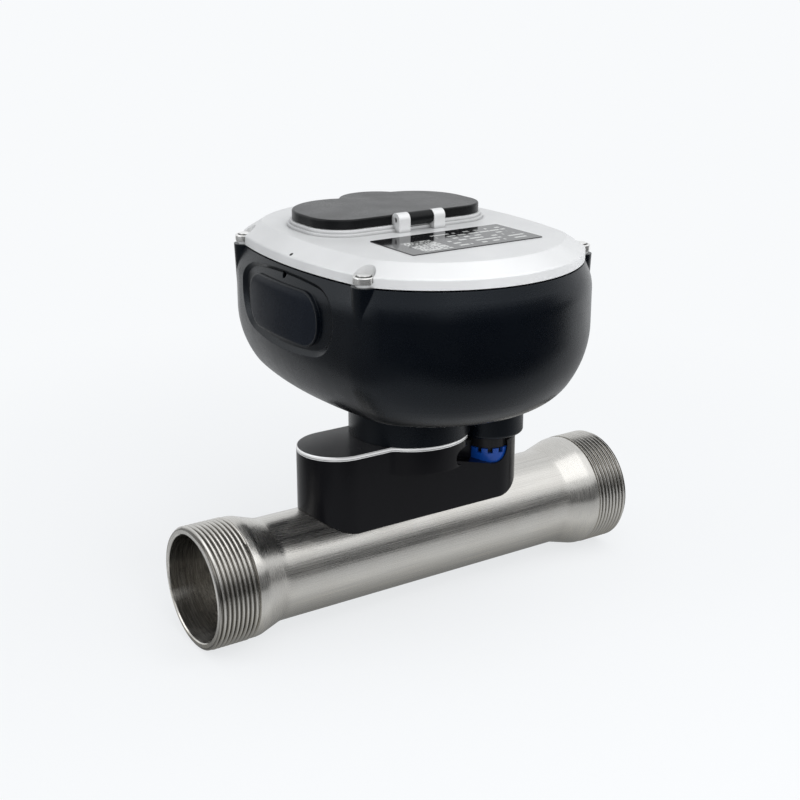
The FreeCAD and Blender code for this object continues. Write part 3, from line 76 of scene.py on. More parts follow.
class Graph:
    """A node tree with short calls that add nodes and wire them."""

    def __init__(self, tree: bpy.types.NodeTree) -> None:
        """Wrap a tree."""
        self.tree = tree

    def add(self, kind: str, inputs: dict | None = None, **settings: object) -> bpy.types.Node:
        """Add a node.

        Args:
            kind: The node's type without its ShaderNode prefix.
            inputs: Values by socket name or number; a socket is wired, anything else is set.
            settings: The node's own properties.

        Returns:
            The new node.
        """
        node = self.tree.nodes.new(f"ShaderNode{kind}")
        for name, value in settings.items():
            setattr(node, name, value)
        for key, value in (inputs or {}).items():
            if isinstance(value, bpy.types.NodeSocket):
                self.tree.links.new(value, node.inputs[key])
            else:
                node.inputs[key].default_value = value
        return node

    def math(self, operation: str, first: object, second: object = 0.0, third: object = 0.0) -> Socket:
        """Add a Math node.

        Args:
            operation: The node's operation.
            first: First value or socket.
            second: Second value or socket.
            third: Third value or socket.

        Returns:
            The result's socket.
        """
        return self.add("Math", {0: first, 1: second, 2: third}, operation=operation).outputs[0]

    def product(self, first: object, *others: object) -> Socket:
        """Multiply values.

        Args:
            first: First value or socket.
            others: The other values or sockets.

        Returns:
            The product's socket.
        """
        for other in others:
            first = self.math("MULTIPLY", first, other)
        return first

    def span(self, first: Socket, second: Socket) -> Socket:
        """Give the length of a line with the two sides given."""
        squares = [self.math("POWER", side, 2.0) for side in (first, second)]
        return self.math("SQRT", self.math("ADD", *squares))

    def remap(self, value: Socket, low: float, high: float, to_low: float = 0.0, to_high: float = 1.0) -> Socket:
        """Map a value from one range to another, clamped.

        Args:
            value: The value's socket.
            low: Start of the range read.
            high: End of the range read.
            to_low: Start of the range given.
            to_high: End of the range given.

        Returns:
            The mapped value's socket.
        """
        node = self.add("MapRange", {"Value": value, "From Min": low, "From Max": high,
                                     "To Min": to_low, "To Max": to_high})
        return node.outputs["Result"]

    def blend(self, factor: object, first: object, second: object) -> Socket:
        """Mix two colours.

        Args:
            factor: Share of the second colour.
            first: First colour or socket.
            second: Second colour or socket.

        Returns:
            The mixed colour's socket.
        """
        values = {0: factor, 6: opaque(first), 7: opaque(second)}
        return self.add("Mix", values, data_type="RGBA").outputs[2]

    def noise(self, vector: Socket, scale: object, detail: float = 2.0) -> Socket:
        """Add a noise texture.

        Args:
            vector: Where the noise is read.
            scale: Waves per unit of the vector.
            detail: Octaves.

        Returns:
            The noise's value.
        """
        return self.add("TexNoise", {"Vector": vector, "Scale": scale, "Detail": detail}).outputs[0]

    def chance(self, cell: Socket) -> Socket:
        """Give each cell of a flat grid its own number from 0 to 1."""
        return self.add("TexWhiteNoise", {"Vector": cell}, noise_dimensions="2D").outputs["Value"]

    def stretch(self, vector: Socket, scale: Point) -> Socket:
        """Scale a position along each axis."""
        return self.add("VectorMath", {0: vector, 1: scale}, operation="MULTIPLY").outputs[0]

    def facing(self, vector: Socket, side: Point) -> Socket:
        """Tell how far a direction points to a side, as their dot product."""
        return self.add("VectorMath", {0: vector, 1: side}, operation="DOT_PRODUCT").outputs["Value"]

    def bump(self, height: Socket, distance: float, edge: float = 0.0) -> Socket:
        """Turn a height into a normal.

        Args:
            height: Height from 0 to 1.
            distance: Real height in metres.
            edge: Radius in metres by which sharp edges are softened.

        Returns:
            The normal's socket.
        """
        node = self.add("Bump", {"Height": height, "Distance": distance})
        if edge:
            soft = self.add("Bevel", {"Radius": edge}, samples=6)
            self.join(node, "Normal", soft.outputs["Normal"])
        return node.outputs["Normal"]

    def join(self, node: bpy.types.Node, name: str, value: Socket) -> None:
        """Wire a value into a node's input."""
        self.tree.links.new(value, node.inputs[name])


def opaque(colour: object) -> object:
    """Give a plain colour its fourth value."""
    return (*colour, 1.0) if isinstance(colour, tuple) and len(colour) == 3 else colour


def toned(colour: Colour, share: float) -> Colour:
    """Give a darker or lighter tone of a colour."""
    return tuple(value * share for value in colour)


def effect(name: str, inputs: Sequence[str], outputs: Sequence[str],
           fill: Callable[[Graph, dict[str, Socket]], dict[str, Socket]]) -> bpy.types.NodeTree:
    """Make a shared shader node group, once.

    Args:
        name: The group's name.
        inputs: Names of its inputs; Place is a position, the rest are numbers.
        outputs: Names of its outputs, all numbers.
        fill: Builds the nodes from the inputs' sockets and gives the outputs' sockets.

    Returns:
        The group.
    """
    if name in bpy.data.node_groups:
        return bpy.data.node_groups[name]
    tree = bpy.data.node_groups.new(name, "ShaderNodeTree")
    for label in inputs:
        kind = "NodeSocketVector" if label == "Place" else "NodeSocketFloat"
        tree.interface.new_socket(name=label, in_out="INPUT", socket_type=kind)
    for label in outputs:
        tree.interface.new_socket(name=label, in_out="OUTPUT", socket_type="NodeSocketFloat")
    source = tree.nodes.new("NodeGroupInput")
    target = tree.nodes.new("NodeGroupOutput")
    made = fill(Graph(tree), {label: source.outputs[label] for label in inputs})
    for label in outputs:
        tree.links.new(made[label], target.inputs[label])
    return tree


def grain_effect() -> bpy.types.NodeTree:
    """Fine texture of a moulded or painted surface: pimples and a slow drift of tone."""

    def fill(graph: Graph, given: dict[str, Socket]) -> dict[str, Socket]:
        """Build the grain."""
        fine = graph.noise(given["Place"], given["Scale"], detail=3.0)
        drift = graph.noise(given["Place"], scale=28.0)
        return {"Height": graph.remap(fine, 0.3, 0.7), "Drift": graph.remap(drift, 0.3, 0.7)}

    return effect("moulded_grain", ("Place", "Scale"), ("Height", "Drift"), fill)


def handling_effect() -> bpy.types.NodeTree:
    """Faint rub marks and smudges that change how a surface shines."""

    def fill(graph: Graph, given: dict[str, Socket]) -> dict[str, Socket]:
        """Build the marks."""
        cloud = graph.noise(given["Place"], scale=55.0, detail=4.0)
        scratch = graph.noise(graph.stretch(given["Place"], (900.0, 140.0, 60.0)), scale=1.0)
        return {"Smudge": graph.product(graph.remap(cloud, 0.42, 0.68), given["Amount"]),
                "Scratch": graph.product(graph.remap(scratch, 0.62, 0.75), given["Amount"])}

    return effect("handling_marks", ("Place", "Amount"), ("Smudge", "Scratch"), fill)


def turned_effect() -> bpy.types.NodeTree:
    """Tool marks about the tube's axis, from rings across it to lines along it."""

    def fill(graph: Graph, given: dict[str, Socket]) -> dict[str, Socket]:
        """Build the marks."""
        axes = graph.add("SeparateXYZ", {0: given["Place"]}).outputs
        angle = graph.math("ARCTAN2", axes["Z"], axes["Y"])
        around = graph.add("CombineXYZ", {
            0: graph.product(axes["X"], given["Across"]),
            1: graph.product(graph.math("COSINE", angle), given["Along"]),
            2: graph.product(graph.math("SINE", angle), given["Along"])}).outputs[0]
        coarse = graph.noise(around, scale=1.0)
        fine = graph.noise(around, scale=3.7)
        both = graph.math("ADD", graph.product(coarse, 0.6), graph.product(fine, 0.4))
        return {"Height": graph.remap(both, 0.3, 0.7), "Tone": graph.remap(coarse, 0.35, 0.65)}

    return effect("turned_marks", ("Place", "Across", "Along"), ("Height", "Tone"), fill)


@dataclass(frozen=True)
class Finish:
    """A surface finish with a fine grain and handling marks, lengths in metres."""

    name: str
    colour: Colour
    roughness: float
    metallic: float = 0.0
    grain_scale: float = 2500.0
    grain_depth: float = 0.00002
    drift: float = 0.12
    marks: float = 0.5
    specular: float = 0.5
    gloss_tint: Colour = (1.0, 1.0, 1.0)
    edge: float = 0.0
    # Painted shade: these four settings darken the colour in creases and corners that ambient occlusion finds.
    crevice_shade: float = 0.0
    crevice_shade_reach: float = 0.0022
    crevice_shade_span: tuple[float, float] = (0.45, 0.92)
    crevice_shade_tone: float = 0.3
    grain_shine: float = 0.03
    smudge_shine: float = 0.1
    scratch_shine: float = 0.08

    def material(self) -> bpy.types.Material:
        """Give the finish's material, made on first use."""
        found = bpy.data.materials.get(self.name)
        if found:
            return found
        made = bpy.data.materials.new(self.name)
        made.use_nodes = True
        graph = Graph(made.node_tree)
        shader = made.node_tree.nodes["Principled BSDF"]
        shader.inputs["Roughness"].default_value = self.roughness
        shader.inputs["Metallic"].default_value = self.metallic
        shader.inputs["Specular IOR Level"].default_value = self.specular
        shader.inputs["Specular Tint"].default_value = opaque(self.gloss_tint)
        place = graph.add("TexCoord").outputs["Object"]
        self.wire(graph, shader, place)
        return made

    def wire(self, graph: Graph, shader: bpy.types.Node, place: Socket) -> None:
        """Wire the varying colour, roughness and normal.

        Args:
            graph: The material's nodes.
            shader: Its Principled shader.
            place: Object coordinates.
        """
        grain = self.touch(graph, shader, place)
        lighter = tuple(min(1.0, value) for value in toned(self.colour, 1 + self.drift))
        colour = graph.blend(grain["Drift"], toned(self.colour, 1 - self.drift), lighter)
        # Painted shade: the colour is darkened in creases and corners, as far as they are occluded.
        if self.crevice_shade:
            crevice_occlusion = graph.add("AmbientOcclusion", {"Distance": self.crevice_shade_reach}, samples=8, only_local=True)
            depth = graph.remap(crevice_occlusion.outputs["AO"], *self.crevice_shade_span, self.crevice_shade, 0.0)
            colour = graph.blend(depth, colour, toned(self.colour, self.crevice_shade_tone))
        graph.join(shader, "Base Color", colour)

    def touch(self, graph: Graph, shader: bpy.types.Node, place: Socket) -> bpy.types.bpy_prop_collection:
        """Wire the roughness and the normal that the grain and handling give.

        Args:
            graph: The material's nodes.
            shader: Its Principled shader.
            place: Object coordinates.

        Returns:
            The grain's outputs.
        """
        node = graph.add("Group", node_tree=grain_effect())
        graph.join(node, "Place", place)
        node.inputs["Scale"].default_value = self.grain_scale
        grain, marks = node.outputs, self.rubs(graph, place)
        low, high = self.roughness - self.grain_shine, self.roughness + self.grain_shine
        rough = graph.remap(grain["Height"], 0.0, 1.0, low, high)
        rough = graph.math("MULTIPLY_ADD", marks["Smudge"], self.smudge_shine, rough)
        rough = graph.math("MULTIPLY_ADD", marks["Scratch"], self.scratch_shine, rough)
        graph.join(shader, "Roughness", rough)
        graph.join(shader, "Normal", graph.bump(grain["Height"], self.grain_depth, self.edge))
        return grain

    def rubs(self, graph: Graph, place: Socket) -> bpy.types.bpy_prop_collection:
        """Add the shared handling marks.

        Args:
            graph: The material's nodes.
            place: Object coordinates.

        Returns:
            The marks' outputs.
        """
        node = graph.add("Group", node_tree=handling_effect())
        graph.join(node, "Place", place)
        node.inputs["Amount"].default_value = self.marks
        return node.outputs


class Cut(Enum):
    """How the tube's steel was worked in a zone: marks across the axis and along it, per metre and per turn."""

    TURNED = (5200.0, 5.0)
    DRAWN = (26.0, 95.0)
    BORED = (1300.0, 2.5)


@dataclass(frozen=True)
class WorkedSteel(Finish):
    """Stainless steel, drawn along the middle and turned at the ends and in the bore, lengths in metres."""

    drawn_start: Ramp = (-0.0865, -0.0845, 0.0, 1.0)
    drawn_end: Ramp = (0.085, 0.087, 1.0, 0.0)
    drawn_radius: Ramp = (0.0245, 0.0252, 0.0, 1.0)
    worn_tone: float = 0.82
    # Painted reflection: a warm tint on the tube's lower half, in what it mirrors.
    warm_reflection_below: Ramp = (-0.024, 0.002, 1.0, 0.0)
    warm_reflection_tint: Colour = (1.0, 0.97, 0.87)
    stain: Colour = (0.5, 0.46, 0.4)
    stain_share: float = 0.25
    tone_shine: tuple[float, float] = (-0.05, 0.07)
    bore_shine: float = -0.09
    stain_shine: float = 0.08
    thread_starts: tuple[float, float] = (-0.1025, 0.1045)
    root_radius: float = 0.02825
    # Painted shade in the threads' roots: the radii over which it fades out, and its colour.
    root_shade_ramp: Ramp = (0.0284, 0.0294, 0.8, 0.0)
    root_shade_colour: Colour = (0.06, 0.055, 0.045)
    bore_limit: Ramp = (0.089, 0.0895, 0.0252, 0.0263)
    bore_colour: Colour = (0.86, 0.84, 0.8)
    # Painted light in the bore: the tone between its lit bands, the bands, the lit side, the low part made less
    # metallic and one gleam.
    bore_tone: float = 0.45
    bore_grime: Colour = (0.1, 0.09, 0.075)
    bore_grime_share: float = 0.35
    band_stretch: float = 9.0
    band_scale: float = 2.6
    bands: Ramp = (0.4, 0.62, 0.35, 1.0)
    lit_side: Point = (0.0, 0.55, -0.83)
    lit: Ramp = (-0.4, 0.7, 0.3, 1.0)
    low_painted_sheen: Ramp = (-0.95, -0.45, 0.22, 0.015)
    gleam_side: Point = (0.0, 0.87, -0.49)
    gleam: Ramp = (0.988, 1.0, 0.0, 0.3)
    gleam_reach: Ramp = (-0.1225, -0.1065, 1.0, 0.0)

    def wire(self, graph: Graph, shader: bpy.types.Node, place: Socket) -> None:
        """Wire streaks that follow the tool's path in each zone.

        Args:
            graph: The material's nodes.
            shader: Its Principled shader.
            place: Object coordinates.
        """
        smudge = self.rubs(graph, place)["Smudge"]
        axes = graph.add("SeparateXYZ", {0: place}).outputs
        radius = graph.span(axes["Y"], axes["Z"])
        bore = graph.math("LESS_THAN", radius, graph.remap(graph.math("ABSOLUTE", axes["X"]), *self.bore_limit))
        height, tone = self.tool_marks(graph, place, self.drawn(graph, axes["X"], radius), bore)
        # Painted reflection: the tube's lower half is tinted warm.
        warm_reflection_colour = tuple(value * share for value, share in zip(self.colour, self.warm_reflection_tint))
        tinted_steel = graph.blend(graph.remap(axes["Z"], *self.warm_reflection_below), self.colour, warm_reflection_colour)
        steel = graph.blend(tone, toned(self.colour, self.worn_tone), tinted_steel)
        inside, painted_sheen = self.bored(graph, axes, radius, tone)
        steel = graph.blend(bore, steel, inside)
        # Painted shade darkens the threads' roots.
        steel = graph.blend(self.root_shade(graph, axes["X"], radius), steel, self.root_shade_colour)
        steel = graph.blend(graph.product(smudge, self.stain_share), steel, self.stain)
        graph.join(shader, "Base Color", steel)
        # Painted light: the bore is made less metallic where its light is painted.
        graph.join(shader, "Metallic", graph.math("SUBTRACT", 1.0, graph.product(bore, painted_sheen)))
        rough = graph.remap(tone, 0.0, 1.0, *(self.roughness + shine for shine in self.tone_shine))
        rough = graph.math("MULTIPLY_ADD", bore, self.bore_shine, rough)
        rough = graph.math("MULTIPLY_ADD", smudge, self.stain_shine, rough)
        graph.join(shader, "Roughness", rough)
        graph.join(shader, "Normal", graph.bump(height, self.grain_depth))

    def drawn(self, graph: Graph, along: Socket, radius: Socket) -> Socket:
        """Mask the plain middle of the tube's outside.

        Args:
            graph: The material's nodes.
            along: Place along the tube.
            radius: Distance from its axis.

        Returns:
            1 where the tube was drawn and 0 elsewhere.
        """
        return graph.product(graph.remap(along, *self.drawn_start), graph.remap(along, *self.drawn_end),
                             graph.remap(radius, *self.drawn_radius))

    def tool_marks(self, graph: Graph, place: Socket, drawn: Socket, bore: Socket) -> list[Socket]:
        """Lay each zone's tool marks.

        Args:
            graph: The material's nodes.
            place: Object coordinates.
            drawn: Mask of the drawn middle.
            bore: Mask of the bore.

        Returns:
            The marks' height and tone.
        """
        zones = []
        for cut in Cut:
            node = graph.add("Group", node_tree=turned_effect())
            graph.join(node, "Place", place)
            node.inputs["Across"].default_value, node.inputs["Along"].default_value = cut.value
            zones.append(node.outputs)
        mixed = []
        for kind in ("Height", "Tone"):
            turned, lines, rings = (outputs[kind] for outputs in zones)
            outside = graph.add("Mix", {0: drawn, 2: turned, 3: lines}).outputs[0]
            mixed.append(graph.add("Mix", {0: bore, 2: outside, 3: rings}).outputs[0])
        return mixed

    def bored(self, graph: Graph, axes: bpy.types.bpy_prop_collection, radius: Socket,
              tone: Socket) -> tuple[Socket, Socket]:
        """Colour the bore in bands, brighter towards its lit side.

        Args:
            graph: The material's nodes.
            axes: The place's three coordinates.
            radius: Distance from the tube's axis.
            tone: The tool marks' tone.

        Returns:
            The colour with its painted light, and how far the metal is made less metallic to paint light: at its low
            part and along one painted gleam near the inlet.
        """
        along = graph.product(axes["X"], self.band_stretch)
        sideways, upwards = (graph.math("DIVIDE", axes[axis], radius) for axis in "YZ")
        turn = graph.add("CombineXYZ", {0: along, 1: sideways, 2: upwards}).outputs[0]
        bands = graph.product(graph.remap(graph.noise(turn, self.band_scale, detail=3.0), *self.bands),
                              graph.remap(graph.facing(turn, self.lit_side), *self.lit))
        # Painted light: the bore's colour is lighter in the lit bands and darker between them.
        metal = graph.blend(bands, toned(self.bore_colour, self.bore_tone), self.bore_colour)
        colour = graph.blend(graph.remap(tone, 0.0, 1.0, self.bore_grime_share, 0.0), metal, self.bore_grime)
        # Painted highlight: less metal at the lit low part and along one gleam lets the pale colour show.
        low = graph.product(bands, graph.remap(upwards, *self.low_painted_sheen))
        gleam = graph.product(graph.remap(graph.facing(turn, self.gleam_side), *self.gleam),
                              graph.remap(axes["X"], *self.gleam_reach))
        return colour, graph.math("MAXIMUM", low, gleam)

    def root_shade(self, graph: Graph, along: Socket, radius: Socket) -> Socket:
        """Mask the painted shade in the threads' roots, darker towards the root.

        Args:
            graph: The material's nodes.
            along: Place along the tube.
            radius: Distance from its axis.

        Returns:
            The painted shade's strength.
        """
        inlet, outlet = self.thread_starts
        ends = graph.math("MAXIMUM", graph.math("LESS_THAN", along, inlet), graph.math("GREATER_THAN", along, outlet))
        return graph.product(ends, graph.remap(radius, *self.root_shade_ramp),
                             graph.math("GREATER_THAN", radius, self.root_radius))


@dataclass(frozen=True)
class CutPlate(Finish):
    """Black coated plate whose cut edge is bare and bright, lengths in metres."""

    coat_drift: float = 1.3
    bare: Colour = (0.93, 0.93, 0.93)
    bare_metal: float = 0.45
    bare_slope: Ramp = (0.75, 0.95, 1.0, 0.0)
    joint_level: float = 0.25
    joint_half: float = 0.0002
    joint_colour: Colour = (0.05, 0.05, 0.05)
    joint_share: float = 0.75

    def wire(self, graph: Graph, shader: bpy.types.Node, place: Socket) -> None:
        """Wire the coat on flat faces, and bare metal with a dark joint on the edge.

        Args:
            graph: The material's nodes.
            shader: Its Principled shader.
            place: Object coordinates.
        """
        grain = self.touch(graph, shader, place)
        normal = graph.add("NewGeometry").outputs["Normal"]
        upright = graph.math("ABSOLUTE", graph.add("SeparateXYZ", {0: normal}).outputs["Z"])
        bare = graph.remap(upright, *self.bare_slope)
        low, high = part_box("closing_plate")
        level = graph.add("SeparateXYZ", {0: place}).outputs["Z"]
        joint = graph.math("COMPARE", level, low.z + (high.z - low.z) * self.joint_level, self.joint_half)
        coat = graph.blend(grain["Drift"], self.colour, toned(self.colour, self.coat_drift))
        edge = graph.blend(graph.product(joint, self.joint_share), self.bare, self.joint_colour)
        graph.join(shader, "Base Color", graph.blend(bare, coat, edge))
        graph.join(shader, "Metallic", graph.product(bare, self.bare_metal))


@dataclass(frozen=True)
class PrintedFilm(Finish):
    """Dark glossy film printed with a light panel and plain bars in rows, as on a rating plate, lengths in metres."""

    ink: Colour = (0.5, 0.51, 0.5)
    film_tone: float = 0.85
    row_pitch: float = 0.0047
    row_half: float = 0.2
    bar_pitch: float = 0.0062
    bar_lengths: Ramp = (0.15, 1.0, 0.0, 1.1)
    rows: tuple[float, float, float, float] = (0.4, 0.95, 0.12, 0.92)
    square: float = 0.00095
    bare_squares: float = 0.42
    bare_ink: float = 0.3
    panel: tuple[float, float, float, float] = (0.115, 0.33, 0.36, 0.92)

    def wire(self, graph: Graph, shader: bpy.types.Node, place: Socket) -> None:
        """Wire the panel and the rows of bars onto the film.

        Args:
            graph: The material's nodes.
            shader: Its Principled shader.
            place: Object coordinates.
        """
        grain = self.touch(graph, shader, place)
        printed = graph.math("MAXIMUM", self.bars(graph, place), self.squares(graph, place))
        film = graph.blend(grain["Drift"], toned(self.colour, self.film_tone), self.colour)
        graph.join(shader, "Base Color", graph.blend(printed, film, self.ink))

    def bars(self, graph: Graph, place: Socket) -> Socket:
        """Mask the rows of bars, each of a length of its own.

        Args:
            graph: The material's nodes.
            place: Object coordinates.

        Returns:
            1 on a bar and 0 elsewhere.
        """
        axes = graph.add("SeparateXYZ", {0: place}).outputs
        row = graph.math("DIVIDE", axes["Y"], self.row_pitch)
        cell = graph.math("DIVIDE", axes["X"], self.bar_pitch)
        index = graph.add("CombineXYZ", {0: graph.math("FLOOR", cell), 1: graph.math("FLOOR", row)}).outputs[0]
        thick = graph.math("COMPARE", graph.math("FRACT", row), 0.5, self.row_half)
        reach = graph.remap(graph.chance(index), *self.bar_lengths)
        long = graph.math("LESS_THAN", graph.math("FRACT", cell), reach)
        return graph.product(thick, long, self.within(graph, axes, self.rows))

    def squares(self, graph: Graph, place: Socket) -> Socket:
        """Mask the panel of random squares.

        Args:
            graph: The material's nodes.
            place: Object coordinates.

        Returns:
            1 on an inked square, less on a bare one and 0 outside the panel.
        """
        grid = graph.stretch(place, (1.0 / self.square, 1.0 / self.square, 0.0))
        cell = graph.add("VectorMath", {0: grid}, operation="FLOOR").outputs[0]
        inked = graph.math("GREATER_THAN", graph.chance(cell), self.bare_squares)
        axes = graph.add("SeparateXYZ", {0: place}).outputs
        return graph.product(graph.remap(inked, 0.0, 1.0, self.bare_ink), self.within(graph, axes, self.panel))

    @staticmethod
    def within(graph: Graph, axes: bpy.types.bpy_prop_collection, area: tuple[float, float, float, float]) -> Socket:
        """Mask a rectangle of the film.

        Args:
            graph: The material's nodes.
            axes: The place's three coordinates.
            area: Left, right, top and bottom of the rectangle as shares of the film.

        Returns:
            1 in the rectangle and 0 outside it.
        """
        low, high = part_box("rating_plate")
        left, right, top, bottom = area
        across = graph.remap(axes["X"], low.x, high.x)
        down = graph.remap(axes["Y"], low.y, high.y, 1.0, 0.0)
        wide = graph.math("COMPARE", across, (left + right) / 2, (right - left) / 2)
        deep = graph.math("COMPARE", down, (top + bottom) / 2, (bottom - top) / 2)
        return graph.product(wide, deep)


@dataclass(frozen=True)
class ClearPane(Finish):
    """Clear glass with a trace of smudging."""

    refraction: float = 1.46

    def material(self) -> bpy.types.Material:
        """Give the pane's material, see-through on both sides."""
        made = super().material()
        shader = made.node_tree.nodes["Principled BSDF"]
        shader.inputs["Transmission Weight"].default_value = 1.0
        shader.inputs["IOR"].default_value = self.refraction
        return made


STEEL = WorkedSteel("worked_stainless", (0.63, 0.615, 0.585), 0.24, metallic=1.0, grain_depth=0.000012)
HOUSING_BLACK = Finish("satin_black_moulding", (0.0012, 0.002, 0.0036), 0.27, grain_scale=1900.0, specular=0.26,
                       gloss_tint=(0.86, 0.93, 1.0), edge=0.0005)
SADDLE_BLACK = Finish("smooth_black_moulding", (0.003, 0.003, 0.004), 0.2, grain_scale=1500.0, grain_depth=0.000008,
                      specular=0.15, edge=0.0004)
PLUG_BLACK = Finish("plug_black_moulding", (0.008, 0.008, 0.009), 0.35, specular=0.3)
PLATE_COAT = CutPlate("black_coated_plate", (0.02, 0.02, 0.022), 0.2, grain_depth=0.00001)
# Its crevice setting paints shade on the plinth's steps and in the cover's other creases.
COVER_SILVER = Finish("satin_silver_coat", (0.7, 0.705, 0.71), 0.42, metallic=0.3, grain_scale=3200.0,
                      grain_depth=0.00003, drift=0.05, edge=0.00015, crevice_shade=0.75)
LID_BLACK = Finish("grained_black_moulding", (0.004, 0.0043, 0.0048), 0.28, grain_scale=2200.0, grain_depth=0.00003,
                   specular=0.18, edge=0.0003)
BADGE_FILM = Finish("badge_film", (0.0055, 0.0075, 0.012), 0.25, grain_depth=0.00001, specular=0.09,
                    gloss_tint=(0.84, 0.93, 1.0))
RATING_FILM = PrintedFilm("printed_film", (0.01, 0.01, 0.011), 0.07, grain_depth=0.000002, marks=0.2)
RING_BLUE = Finish("blue_moulding", (0.004, 0.045, 0.25), 0.32, drift=0.15, edge=0.0003)
# Its crevice setting paints shade in the screw heads' grooves.
NICKEL = Finish("bright_nickel", (0.8, 0.795, 0.78), 0.2, metallic=0.87, grain_depth=0.000006, drift=0.08,
                crevice_shade=0.95)
# Painted shade: the hinge pin is near black, so its end reads as the shade in the knuckle's pin hole.
PIN_SHADE_STEEL = Finish("pin_steel_dark_as_shade", (0.06, 0.058, 0.055), 0.5, metallic=1.0)
GOLD = Finish("gold_plating", (0.85, 0.6, 0.22), 0.2, metallic=1.0, grain_depth=0.000005)
RUBBER = Finish("soft_black_rubber", (0.014, 0.014, 0.014), 0.75, grain_depth=0.00005)
CERAMIC = Finish("transducer_moulding", (0.72, 0.68, 0.58), 0.4)
BOARD_GREEN = Finish("solder_mask", (0.012, 0.11, 0.04), 0.35, drift=0.25)
DISPLAY_GREY = Finish("display_frame", (0.05, 0.052, 0.05), 0.35)
DISPLAY_FIELD = Finish("display_field", (0.3, 0.34, 0.27), 0.2, grain_depth=0.000004, drift=0.06)
DISPLAY_INK = Finish("display_ink", (0.02, 0.022, 0.02), 0.3, grain_depth=0.000002)
CELL_WRAP = Finish("cell_sleeve", (0.03, 0.2, 0.08), 0.3)
TRAY_GREY = Finish("tray_moulding", (0.18, 0.18, 0.19), 0.5)
GLASS = ClearPane("window_pane", (0.95, 0.97, 0.97), 0.04, grain_depth=0.000001, marks=0.2)


def dress(node: str, finish: Finish) -> None:
    """Give a CAD node a finish.

    Args:
        node: The node's name.
        finish: The finish it gets.
    """
    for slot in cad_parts[node].material_slots:
        slot.material = finish.material()
    LOG.info("dressed %s in %s", node, finish.name)


def place_mesh(shape: bmesh.types.BMesh, name: str, material: bpy.types.Material) -> bpy.types.Object:
    """Put a shape in the scene.

    Args:
        shape: The shape in metres, freed here.
        name: The object's name.
        material: Its material.

    Returns:
        The object, at the origin.
    """
    mesh = bpy.data.meshes.new(name)
    shape.to_mesh(mesh)
    shape.free()
    mesh.materials.append(material)
    placed = bpy.data.objects.new(name, mesh)
    bpy.context.scene.collection.objects.link(placed)
    return placed


def settle(shape: bmesh.types.BMesh, name: str, finish: Finish,
           smooth_angle: float = 35.0) -> bpy.types.Object:
    """Turn a finished shape into a piece of the meter's still body.

    Args:
        shape: The shape in metres, freed here.
        name: The piece's name.
        finish: Its finish.
        smooth_angle: Edges sharper than this stay crisp, in degrees.

    Returns:
        The piece.
    """
    bmesh.ops.recalc_face_normals(shape, faces=shape.faces)
    piece = place_mesh(shape, name, finish.material())
    piece.data.shade_smooth()
    piece.data.set_sharp_from_angle(angle=math.radians(smooth_angle))
    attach(piece, "base")
    LOG.info("built %s: %d faces", name, len(piece.data.polygons))
    return piece


